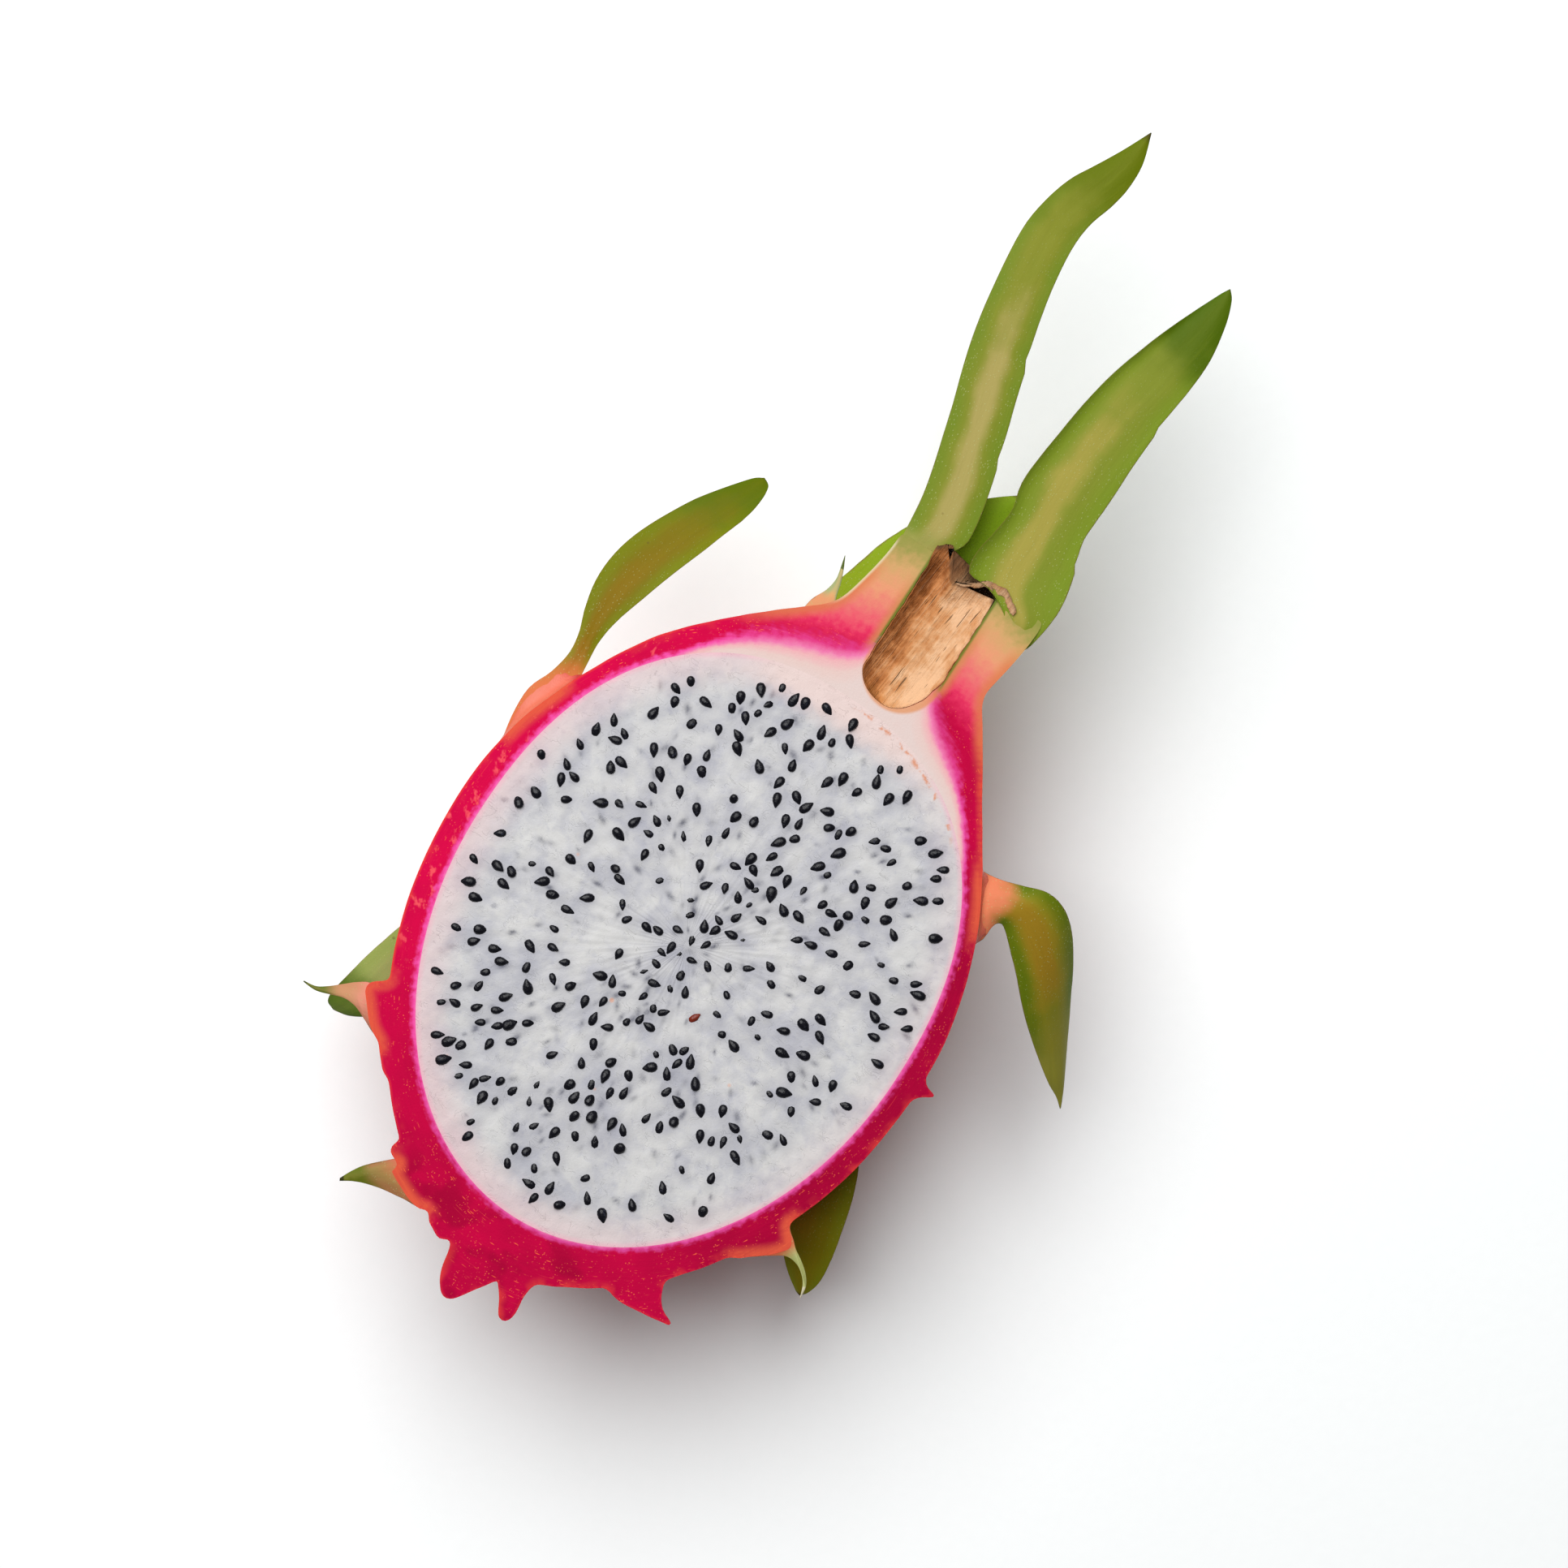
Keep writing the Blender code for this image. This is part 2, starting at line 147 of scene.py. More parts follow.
class SkinLook(bpy.types.PropertyGroup):
    """Colours of the rind and of the leaves."""

    rind: FloatVectorProperty(
        name="Rind", description="Colour of the cut rind", subtype="COLOR", size=3,
        default=(0.50, 0.0015, 0.046), min=0.0, max=1.0)
    edge_pink: FloatVectorProperty(
        name="Flesh edge", description="Bright pink line next to the flesh", subtype="COLOR",
        size=3, default=(0.76, 0.07, 0.33), min=0.0, max=1.0)
    leaf: FloatVectorProperty(
        name="Leaf", description="Green of the crown leaves", subtype="COLOR", size=3,
        default=(0.19, 0.27, 0.018), min=0.0, max=1.0)


class StageLook(bpy.types.PropertyGroup):
    """Camera and light."""

    camera_lens: FloatProperty(
        name="Lens", description="Focal length of the camera in millimetres", default=135.0)
    view_width: FloatProperty(
        name="View width", description="Width seen at the height of the cut face",
        default=0.2415, unit="LENGTH")
    view_turn: FloatProperty(
        name="View turn", description="Turn of the camera about the vertical",
        default=radians(33), subtype="ANGLE")
    key_power: FloatProperty(
        name="Key power", description="Power of the soft key light in watts", default=20.5)
    sky_strength: FloatProperty(
        name="Sky strength", description="Strength of the even white surround", default=0.14)


class Fruit:
    """The fruit's surfaces as formulas, from the sizes in the panel."""

    shoulder_power = 2.1
    stem_power = 0.58
    flat_depth = 1.2 * MM
    neck_length = 15 * MM
    bend_length = 35.5 * MM
    neck_offset = 6 * MM
    flesh_powers = (2.0, 2.3)

    def __init__(self, sizes):
        self.cut = sizes.cut_height
        self.side = sizes.body_width / 2
        self.stem = sizes.stem_reach
        self.crown = sizes.neck_reach
        self.neck = sizes.neck_width / 2
        self.tube = sizes.tube_radius
        self.grain = sizes.skin_grain
        self.tube_x = self.neck_offset - 1 * MM
        self.tube_foot = TUBE_BOX[0].y
        self.depth = (self.cut + self.flat_depth) / self.side
        self.flesh_side = FLESH_BOX[1].x
        self.flesh_stem = -FLESH_BOX[0].y
        self.flesh_crown = FLESH_BOX[1].y
        self.flesh_depth = self.cut - FLESH_BOX[0].z

    def station_y(self, station):
        return station * (self.stem if station < 0 else self.crown)

    def half_width(self, y, grow=0.0):
        full = self.side + grow
        if y < 0:
            share = min(-y / (self.stem + grow), 1.0)
            return full * (1 - share**2) ** self.stem_power
        neck = self.neck + grow
        rise = y / (self.crown - self.neck_length)
        return smooth_max(full - (full - neck) * rise**self.shoulder_power, neck, 1.6 * MM)

    def centre_x(self, y):
        return self.neck_offset * smooth_step(self.crown - self.bend_length, self.crown, y)

    def skin_point(self, y, turn, inset=1.0):
        radius = self.half_width(y) * inset
        angle = radians(turn)
        return Vector((
            self.centre_x(y) + radius * cos(angle), y, self.cut - radius * self.depth * sin(angle),
        ))

    def skin_around(self, y, turn):
        return (self.skin_point(y, turn + 1) - self.skin_point(y, turn - 1)).normalized()

    def skin_normal(self, y, turn):
        step = 0.5 * MM
        along = self.skin_point(y + step, turn) - self.skin_point(y - step, turn)
        return self.skin_around(y, turn).cross(along).normalized()

    def flesh_half(self, y):
        """Reach and roundness of the flesh's stem half or crown half."""
        if y < 0:
            return self.flesh_stem, self.flesh_powers[0]
        return self.flesh_crown, self.flesh_powers[1]

    def flesh_rim(self, angle):
        """The point of the flesh's rim in this direction from its middle."""
        c, s = cos(angle), sin(angle)
        reach, power = self.flesh_half(s)
        size = (abs(c / self.flesh_side) ** power + abs(s / reach) ** power) ** (-1 / power)
        return size * c, size * s

    def flesh_share(self, x, y):
        """How far out a point of the cut face lies: 0 at the middle of the flesh, 1 at its rim."""
        reach, power = self.flesh_half(y)
        return (abs(x / self.flesh_side) ** power + abs(y / reach) ** power) ** (1 / power)


# ---------------------------------------------------------------------------------------------
# Mesh helpers


def add_ring(bm, sides, place, marks=None):
    """A closed ring of edges. place turns a corner's cosine and sine into its point.

    marks names a number layer and the function of cosine and sine that fills it."""
    made = bmesh.ops.create_circle(bm, cap_ends=False, radius=1.0, segments=sides)
    for vert in made["verts"]:
        c, s = vert.co.x, vert.co.y
        for layer, value in (marks or {}).items():
            vert[layer] = value(c, s)
        vert.co = place(c, s)
    edges = {edge for vert in made["verts"] for edge in vert.link_edges}
    return sorted(edges, key=lambda edge: edge.index)


def loft(bm, rings):
    """Bridge a row of rings into a skin and close its ends."""
    for near, far in zip(rings, rings[1:]):
        bmesh.ops.bridge_loops(bm, edges=near + far)
    for end in (rings[0], rings[-1]):
        bmesh.ops.contextual_create(bm, geom=end)
    bmesh.ops.recalc_face_normals(bm, faces=bm.faces)


def trim(bm, height, keep_below=True, fill=True):
    """Cut level at a height, drop one side and close the cut."""
    cut = bmesh.ops.bisect_plane(
        bm, geom=bm.verts[:] + bm.edges[:] + bm.faces[:], dist=1e-6,
        plane_co=(0, 0, height), plane_no=(0, 0, 1),
        clear_outer=keep_below, clear_inner=not keep_below)
    rim = [item for item in cut["geom_cut"] if isinstance(item, bmesh.types.BMEdge)]
    if fill and rim:
        bmesh.ops.contextual_create(bm, geom=rim)


def linked(name, data):
    """An object of this data, in the scene."""
    made = bpy.data.objects.new(name, data)
    bpy.context.scene.collection.objects.link(made)
    return made


def as_object(bm, name):
    """Use bm up for the mesh of a new object."""
    mesh = bpy.data.meshes.new(name)
    bm.to_mesh(mesh)
    bm.free()
    return linked(name, mesh)


def add_part(bm, build, *details):
    """Build a part in a mesh of its own and put it into bm."""
    part = bmesh.new()
    build(part, *details)
    carrier = bpy.data.meshes.new("carrier")
    part.to_mesh(carrier)
    bm.from_mesh(carrier)
    bpy.data.meshes.remove(carrier)
    part.free()


def worked(bm, steps):
    """Run modifiers on a mesh and return the result as a new bmesh. steps lists type and settings."""
    blank = as_object(bm, "blank")
    for kind, settings in steps:
        step = blank.modifiers.new(kind.lower(), kind)
        for key, value in settings.items():
            setattr(step, key, value)
    graph = bpy.context.evaluated_depsgraph_get()
    result = bmesh.new()
    result.from_mesh(blank.evaluated_get(graph).to_mesh())
    bpy.data.meshes.remove(blank.data)
    return result


def finished(bm, name, finishes, stands_for=()):
    """Turn bm into a finished piece of the fruit."""
    piece = as_object(bm, name)
    for item in finishes:
        piece.data.materials.append(item)
    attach(piece, "root")
    if stands_for:
        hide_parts(*stands_for)


def shade_smooth(bm):
    for face in bm.faces:
        face.smooth = True


def tree_of(points):
    """A quick way to find the nearest of some points."""
    tree = KDTree(len(points))
    for index, point in enumerate(points):
        tree.insert(point, index)
    tree.balance()
    return tree


# ---------------------------------------------------------------------------------------------
# Finishes


def operator(operation, turned=False):
    """A Python operator that adds a maths node."""
    def apply(self, other):
        return self.sum(operation, *((other, self) if turned else (self, other)))
    return apply


class Wire:
    """A shader socket that takes part in sums."""

    __add__ = __radd__ = operator("ADD")
    __mul__ = __rmul__ = operator("MULTIPLY")
    __sub__, __rsub__ = operator("SUBTRACT"), operator("SUBTRACT", turned=True)
    __truediv__, __rtruediv__ = operator("DIVIDE"), operator("DIVIDE", turned=True)
    __pow__ = operator("POWER")

    def __init__(self, finish, socket):
        self.finish = finish
        self.socket = socket

    def sum(self, operation, *terms, clamp=False):
        return self.finish.node(
            "ShaderNodeMath", {"operation": operation, "use_clamp": clamp}, dict(enumerate(terms)))

    def __abs__(self):
        return self.sum("ABSOLUTE", self)

    def held(self):
        """Kept between 0 and 1."""
        return self.sum("ADD", self, 0.0, clamp=True)

    def most(self, other):
        return self.sum("MAXIMUM", self, other)

    def rise(self, low, high):
        """0 below low, 1 above high and smooth between. low above high turns it round."""
        if low > high:
            return 1 - self.rise(high, low)
        return self.finish.node(
            "ShaderNodeMapRange", {"interpolation_type": "SMOOTHSTEP"},
            {"Value": self, "From Min": low, "From Max": high})

    def hump(self, middle, spread):
        """1 at the middle, falling to 0 at spread on both sides."""
        return (1 - abs(self - middle) / spread).held()


class Finish:
    """One surface finish: a material whose nodes are written as sums."""

    def __init__(self, name, **constants):
        self.material = bpy.data.materials.new(name)
        self.material.use_nodes = True
        self.tree = self.material.node_tree
        self.shader = self.tree.nodes["Principled BSDF"]
        for key, value in constants.items():
            self.shader.inputs[key.replace("_", " ")].default_value = value

    def node(self, kind, settings=None, inputs=None, output=0):
        made = self.tree.nodes.new(kind)
        for key, value in (settings or {}).items():
            if key == "stops":
                ramp = made.color_ramp
                while len(ramp.elements) < len(value):
                    ramp.elements.new(1.0)
                for element, (place, colour) in zip(ramp.elements, value):
                    element.position = place
                    element.color = (*colour, 1.0)
            else:
                setattr(made, key, value)
        for key, value in (inputs or {}).items():
            self.feed(made.inputs[key], value)
        return Wire(self, made.outputs[output])

    def feed(self, socket, value):
        if isinstance(value, Wire):
            self.tree.links.new(value.socket, socket)
        elif socket.type == "RGBA":
            socket.default_value = (*tuple(value)[:3], 1.0)
        else:
            socket.default_value = value

    def place(self):
        """The point's coordinates in millimetres."""
        found = self.node("ShaderNodeTexCoord", output="Object")
        parts = self.tree.nodes.new("ShaderNodeSeparateXYZ")
        self.feed(parts.inputs[0], found)
        return tuple(Wire(self, parts.outputs[axis]) * 1000.0 for axis in range(3))

    def mark(self, name):
        """A number kept on the mesh."""
        return self.node("ShaderNodeAttribute", {"attribute_name": name}, output="Fac")

    def vector(self, x, y, z):
        return self.node("ShaderNodeCombineXYZ", None, {0: x, 1: y, 2: z})

    def grain(self, x, y, z, scale=1.0, detail=2.0, roughness=0.5, distortion=0.0):
        """Noise around 0.5 in whatever coordinates are given."""
        return self.node(
            "ShaderNodeTexNoise", None,
            {"Vector": self.vector(x, y, z), "Scale": scale, "Detail": detail,
             "Roughness": roughness, "Distortion": distortion}, output="Fac")

    def spots(self, x, y, z, scale, share, size=0.3):
        """Small round marks. share of the cells have one."""
        cells = self.tree.nodes.new("ShaderNodeTexVoronoi")
        self.feed(cells.inputs["Vector"], self.vector(x, y, z))
        self.feed(cells.inputs["Scale"], scale)
        pick = self.node("ShaderNodeSeparateColor", None, {0: Wire(self, cells.outputs["Color"])})
        near = Wire(self, cells.outputs["Distance"]).rise(size, size * 0.45)
        return near * pick.rise(share, share * 0.8)

    def blend(self, share, under, over):
        return self.node(
            "ShaderNodeMix", {"data_type": "RGBA", "clamp_factor": True},
            {0: share, 6: under, 7: over}, output=2)

    def lay(self, share, over):
        """Lay another colour over what is there."""
        self.colour = self.blend(share, self.colour, over)

    def ramp(self, share, stops):
        return self.node("ShaderNodeValToRGB", {"stops": stops}, {0: share})

    def done(self, roughness, height, distance):
        """Wire up the shader. height is in millimetres, and distance scales it."""
        self.feed(self.shader.inputs["Base Color"], self.colour)
        self.feed(self.shader.inputs["Roughness"], roughness)
        bump = self.node("ShaderNodeBump", None, {"Height": height, "Distance": distance * MM})
        self.feed(self.shader.inputs["Normal"], bump)
        return self.material


def tinted(colour, factor):
    return tuple(min(part * factor, 1.0) for part in colour)


def flesh_distance(fruit, x, y):
    """Millimetres outward from the flesh's rim, negative inside it."""
    reach = hypot_wire(x, y)
    found = []
    for length, power in ((fruit.flesh_stem, fruit.flesh_powers[0]),
                          (fruit.flesh_crown, fruit.flesh_powers[1])):
        size = (abs(x) / (fruit.flesh_side / MM)) ** power + (abs(y) / (length / MM)) ** power
        found.append(reach * (1 - size ** (-1 / power)))
    upper = y.rise(-0.5, 0.5)
    return found[0] * (1 - upper) + found[1] * upper


def hypot_wire(x, y):
    return (x * x + y * y + 0.001) ** 0.5


def pale_reach(x, y):
    """How far the white tissue runs out past the flesh towards the flower tube."""
    spread = (x - 2.0) / 28.0
    flare = ((x - 5.0) / 6.5) ** 2.0
    return ((1 - spread * spread).most(0.0) * 4.8 + 7.0 / (1 + flare * flare * 1.7)) * y.rise(8.0, 34.0)


def neck_colour(finish, x, y, wander):
    """Up the neck the cut rind turns from magenta to pink, peach and green."""
    climb = y + wander * 4.0 + (abs(x - 5.0) - 9.0) * 0.30
    ladder = finish.ramp(((climb - 50.0) / 24.0).held(), [
        (0.0, (0.66, 0.012, 0.085)), (0.20, (0.70, 0.035, 0.11)), (0.36, (0.69, 0.14, 0.14)),
        (0.54, (0.68, 0.28, 0.15)), (0.70, (0.55, 0.32, 0.13)), (0.84, (0.30, 0.27, 0.07)),
        (1.0, (0.22, 0.25, 0.045))])
    return climb, ladder


def rind_cut_finish(fruit, look):
    """The cut rind: bright pink beside the flesh, crimson flecked with orange, green at the neck."""
    finish = Finish("cut rind", Specular_IOR_Level=0.02)
    x, y, _ = finish.place()
    rim = finish.mark("rim")
    out = flesh_distance(fruit, x, y)
    wander = finish.grain(x, y, 0, 0.9, 3.0) - 0.5
    past = out - pale_reach(x, y) + wander * 0.9
    turn = x.sum("ARCTAN2", y, x)
    streak = finish.grain(out * 2.2, turn * 7.0, 0, 1.0, 4.0, 0.6)
    cloud = finish.grain(x, y, 0, 0.12, 3.0)

    crimson = look.rind
    # Painted light and shade: the crimson is lighter on the upper left and darker on the right, mixed with
    # its own cloudy and streaky tone.
    left = x.rise(4.0, -30.0) * y.rise(-50.0, -14.0)
    painted_light_and_mottle = (left * 0.40 - x.rise(8.0, 34.0) * 0.42 * y.rise(-52.0, -30.0) * y.rise(46.0, 20.0)
            + (cloud - 0.5) * 0.7 + (streak - 0.5) * 0.30 + 0.50).held()
    finish.colour = finish.blend(painted_light_and_mottle, tinted(crimson, 0.62), tinted(crimson, 1.18))
    deep = finish.grain(x, y, 5.0, 0.16, 2.0).rise(0.46, 0.62) * y.rise(-46.0, -53.0)
    finish.lay(deep * 0.6, tinted(crimson, 0.52))

    # Flecks: fine dots everywhere and short dashes along the rim
    thick = finish.grain(x, y, 3.0, 0.35, 3.0, 0.6).rise(0.40, 0.62)
    dots = finish.spots(x, y, 0, 2.2, 0.34, 0.26) + finish.spots(x + 31.0, y, 0, 3.3, 0.26, 0.30)
    finish.lay((dots * thick).held() * past.rise(0.5, 1.3) * 0.75, (0.85, 0.16, 0.05))
    dash = finish.spots(out * 3.8, turn * 30.0, 4.0, 1.0, 0.26, 0.30)
    finish.lay(dash * thick * past.rise(0.8, 1.6) * 0.85, (0.88, 0.13, 0.04))
    scratch = finish.grain(out * 5.5, turn * 4.5, 9.0, 1.0, 3.0, 0.6).rise(0.66, 0.74)
    finish.lay(scratch * 0.55, (0.80, 0.06, 0.05))
    patch = finish.grain(out * 0.42 + turn * 5.0, turn * 13.0, 4.0, 1.0, 3.0, 0.6).rise(0.57, 0.66)
    coral = patch * past.rise(0.2, 1.2) * x.rise(-20.0, -32.0) * y.rise(-28.0, -20.0)
    finish.lay(coral * 0.75, (0.82, 0.10, 0.11))
    whole = y.rise(70.8, 69.0)
    skin = rim.rise(0.50, 0.08) * (0.10 + streak * 0.9) * (0.45 + x.rise(-20.0, -34.0) * 0.6)
    finish.lay(skin.held() * whole, (0.72, 0.05, 0.03))
    broad = rim.rise(1.6, 0.1) * (finish.grain(x, y, 11.0, 0.22, 2.0).rise(0.50, 0.66))
    finish.lay(broad * 0.40 * whole, (0.70, 0.06, 0.035))
    foot = (finish.mark("foot") + (wander * 0.4)).rise(0.42, 0.86) * rim.rise(2.2, 0.5)
    finish.lay(foot * 0.85 * (0.5 + streak * 0.8).held(), (0.66, 0.10, 0.045))
    east = rim.rise(1.3, 0.2) * x.rise(14.0, 20.0) * y.rise(24.0, 40.0) * (0.3 + streak * 0.8)
    finish.lay(east.held() * 0.7 * whole, (0.66, 0.09, 0.04))

    climb, ladder = neck_colour(finish, x, y, wander)
    finish.lay(climb.rise(50.5, 57.0), ladder)
    warm = rim.rise(2.2, 0.2) * y.rise(45.0, 52.0) * y.rise(68.0, 62.0)
    finish.lay(warm * 0.75, (0.58, 0.16, 0.055))
    cream = rim.rise(0.55, 0.1) * y.rise(55.0, 60.0) * x.rise(-3.0, -4.5) * whole
    finish.lay(cream * 0.8, (0.66, 0.56, 0.36))
    side = abs(x - 5.0) - 5.75
    hollow = side.rise(0.75, 0.25) * y.rise(51.5, 55.5)
    finish.lay(side.rise(2.0, 0.4) * y.rise(51.5, 55.5) * 0.30, (0.40, 0.30, 0.10))
    finish.lay(hollow * 0.85, (0.075, 0.15, 0.012))

    # White tissue, then the bright line where the pink starts
    # Painted shade on the bright pink line: darker towards the right and towards the stem end.
    painted_shade_share = x.rise(-10.0, 40.0) * 0.35 + y.rise(-30.0, -48.0) * 0.45
    pink_line_with_painted_shade = finish.blend(painted_shade_share, look.edge_pink, tinted(look.edge_pink, 0.62))
    soft = 1 + y.rise(40.0, 49.0) * 1.6
    pink = finish.ramp(((past / soft + 2.6) / 4.6).held(), [
        (0.0, (0.64, 0.52, 0.49)), (0.28, (0.66, 0.49, 0.455)), (0.44, (0.71, 0.37, 0.39)),
        (0.53, (0.72, 0.17, 0.36))])
    vein = finish.grain(x, y * 0.35, 3.0, 2.2, 4.0, 0.6)
    pink = finish.blend((vein - 0.45).held() * 0.5, pink, (0.62, 0.40, 0.36))
    band = (past / soft + wander * 0.9 + (streak - 0.5) * 1.1).rise(1.15, 0.10)
    finish.lay(band * (1.25 - soft * 0.28), pink_line_with_painted_shade)
    finish.lay((past / soft).rise(0.40, -0.30), pink)
    nook = hypot_wire(x - 5.0, y - 53.3) - 5.8
    edge = nook.rise(0.8, 0.15) * y.rise(56.0, 52.0)
    finish.lay(edge * 0.75, (0.62, 0.23, 0.06))
    height = streak * 0.4 + finish.grain(x, y, 0, 3.0, 3.0) * 0.5
    return finish.done(0.50 + streak * 0.12, height, 0.07)


def skin_finish(look):
    """The outer skin: waxy crimson, greener and more orange where a bract grows out of it."""
    finish = Finish("fruit skin", Specular_IOR_Level=0.3, Coat_Weight=0.10, Coat_Roughness=0.35)
    x, y, z = finish.place()
    foot = finish.mark("foot")
    broad = finish.grain(x, y, z, 0.06, 3.0, 0.55)
    fine = finish.grain(x, y, z, 1.3, 4.0, 0.65)
    along = finish.grain(x * 0.9, y * 0.14, z * 0.9, 1.0, 4.0, 0.6)
    finish.colour = finish.blend(broad.rise(0.32, 0.68), tinted(look.rind, 0.66), tinted(look.rind, 1.02))
    finish.lay((along.rise(0.42, 0.66)) * 0.40, (0.62, 0.05, 0.07))
    pores = finish.spots(x, y, z, 0.9, 0.35, 0.20)
    finish.lay(pores * 0.30, (0.66, 0.16, 0.10))
    edge = z.rise(41.0, 42.6)
    finish.lay(edge * 0.5, (0.70, 0.10, 0.06))
    near = (foot + (fine - 0.5) * 0.25 + (along - 0.5) * 0.4).held()
    finish.lay(near.rise(0.30, 0.90) * 0.8, (0.68, 0.17, 0.09))
    neck = (y + (along - 0.5) * 10.0).rise(52.0, 70.0)
    finish.lay(neck, finish.ramp(((y - 52.0) / 20.0).held(), [
        (0.0, (0.60, 0.10, 0.08)), (0.45, (0.52, 0.22, 0.09)), (0.8, (0.32, 0.28, 0.06)),
        (1.0, (0.18, 0.23, 0.03))]))
    height = fine * 0.4 + along * 0.5 + finish.grain(x, y, z, 5.0, 2.0) * 0.12 - pores * 0.25
    return finish.done(0.38 + fine * 0.18, height, 0.22)


def flesh_finish(fruit, look):
    """White flesh: cloudy, softly fibrous outward from the middle, grey-blue around each seed."""
    finish = Finish("white flesh", Specular_IOR_Level=0.22, Coat_Weight=0.04, Coat_Roughness=0.15)
    x, y, _ = finish.place()
    halo = finish.mark("halo")
    sunk = finish.mark("sunk")
    out = flesh_distance(fruit, x, y)
    turn = x.sum("ARCTAN2", y, x)
    reach = hypot_wire(x, y)
    cloud = finish.grain(x, y, 0, 0.14, 4.0, 0.6, 0.4)
    mottle = finish.grain(x, y, 7.0, 0.55, 4.0, 0.55, 0.6)
    swirl = finish.grain(x, y, 2.0, 0.35, 2.0) * 6.0
    fibre = finish.grain(turn * 20.0, reach * 0.30 + swirl * 0.1, 0, 1.0, 4.0, 0.6, 0.5)
    thread = abs(finish.grain(x + swirl, y, 1.0, 0.60, 2.0, 0.5, 1.2) - 0.5).rise(0.016, 0.004)
    thread = thread * finish.grain(x, y, 12.0, 0.5, 2.0).rise(0.48, 0.62)

    white = look.colour
    grey = (0.375, 0.378, 0.425)
    finish.colour = finish.blend((cloud.rise(0.42, 0.64) * 0.55 + (0.5 - mottle) * 1.3).held(), white, grey)
    finish.lay(fibre.rise(0.48, 0.70) * 0.28 * reach.rise(12.0, 26.0), (0.56, 0.555, 0.55))
    shadow = finish.grain(turn * 26.0, reach * 0.4, 5.0, 1.0, 3.0, 0.6).rise(0.60, 0.74)
    finish.lay(shadow * 0.30, (0.28, 0.285, 0.36))
    finish.lay(thread * 0.35, (0.64, 0.64, 0.64))
    haze = (halo * (0.65 + mottle * 0.7)).held()
    finish.lay(haze * 0.72, (0.19, 0.195, 0.265))
    ragged = finish.grain(x, y, 3.0, 2.2, 3.0, 0.7)
    speck = (sunk * (0.35 + ragged * 1.15)).held()
    finish.lay(speck, (0.035, 0.038, 0.07))
    fleck = finish.spots(x * 0.6, y * 0.6, 0, 0.30, 0.14, 0.10)
    finish.lay(fleck * 0.6, (0.62, 0.25, 0.12))

    # Towards the rim it turns faintly pink, most of all on the left and at the stem end
    side = x.rise(25.0, -30.0) * 0.6 + y.rise(-25.0, -48.0) * 0.4 + 0.30
    blush = (out + (mottle - 0.5) * 2.0).rise(-7.0, -0.3) * side
    finish.lay(blush.held() * 0.65, (0.62, 0.44, 0.45))
    edge = (out + (fibre - 0.5) * 0.6).rise(-1.1, 0.2)
    finish.lay(edge * 0.75, (0.70, 0.36, 0.43))
    crown = (y + (mottle - 0.5) * 2.0).rise(38.5, 43.5) * abs(x - 4.0).rise(24.0, 14.0)
    finish.lay(crown * 0.95, (0.645, 0.51, 0.48))
    path = out + 0.9 + (mottle - 0.5) * 1.6
    seam = path.hump(0.0, 0.42) * finish.grain(x, y, 8.0, 0.8, 2.0).rise(0.44, 0.56)
    finish.lay(seam * x.rise(1.0, 4.0) * y.rise(34.0, 38.0) * 0.85, (0.58, 0.19, 0.07))
    height = (mottle * 0.6 + fibre * 0.5 * reach.rise(6.0, 20.0) + thread * 0.25
              + finish.grain(x, y, 0, 3.0, 2.0) * 0.22)
    return finish.done(0.34 + mottle * 0.22, height, 0.10)


def seed_finish():
    """Black seeds with a wet gloss."""
    finish = Finish("seed coat", Specular_IOR_Level=0.22, Coat_Weight=0.10, Coat_Roughness=0.12)
    x, y, z = finish.place()
    unripe = finish.mark("unripe")
    film = finish.grain(x, y, z, 1.6, 3.0, 0.6)
    finish.colour = finish.blend(film.rise(0.58, 0.80) * 0.4, (0.003, 0.003, 0.006), (0.07, 0.075, 0.12))
    finish.lay(unripe, (0.16, 0.018, 0.008))
    return finish.done(0.22 + film * 0.22, finish.grain(x, y, z, 1.8, 2.0), 0.16)


def tube_finish():
    """The dried flower tube: brown papery fibres along its length."""
    finish = Finish("dried flower tube", Specular_IOR_Level=0.12)
    x, y, z = finish.place()
    around = finish.mark("around")
    fan = x - (y - 47.0) * 0.10
    fibre = finish.grain(fan * 1.1, y * 0.07, 0, 1.0, 4.0, 0.6, 0.5)
    strand = finish.grain(fan * 3.4, y * 0.10, 3.0, 1.0, 3.0, 0.6, 0.3)
    crack = finish.grain(fan * 2.4, y * 0.16, 6.0, 1.0, 2.0, 0.5, 0.2).rise(0.67, 0.72)
    crumple = finish.grain(x, y * 0.7, z, 0.9, 3.0, 0.6)
    cloud = finish.grain(x, y, z, 0.30, 3.0)
    # Painted light and shade: the hollow's right wall is lighter and its left wall darker, darkest on the
    # left of the torn end, mixed with the tube's own fibre, cloud and crumple tone
    light = (around.rise(0.98, 0.30) * 0.62 + (fibre - 0.5) * 1.1 + (cloud - 0.5) * 1.2
             + (crumple - 0.5) * 0.7 + 0.27 - y.rise(63.0, 72.0) * around.rise(0.35, 0.8) * 0.22)
    finish.colour = finish.ramp(light.held(), [
        (0.0, (0.20, 0.062, 0.014)), (0.25, (0.35, 0.120, 0.034)), (0.50, (0.50, 0.205, 0.072)),
        (0.75, (0.60, 0.310, 0.145)), (1.0, (0.71, 0.425, 0.240))])
    finish.lay(strand.rise(0.52, 0.74) * 0.35, (0.66, 0.42, 0.25))
    finish.lay(crack * 0.75, (0.06, 0.028, 0.012))
    base = y.rise(50.5, 47.5)
    finish.lay(base * 0.35, (0.62, 0.25, 0.07))
    torn = finish.mark("torn")
    finish.lay(torn * 0.75, (0.10, 0.052, 0.026))
    height = fibre * 0.6 + strand * 0.4 + crumple * 0.8 - crack * 0.4
    return finish.done(0.78 + fibre * 0.12, height, 0.50)


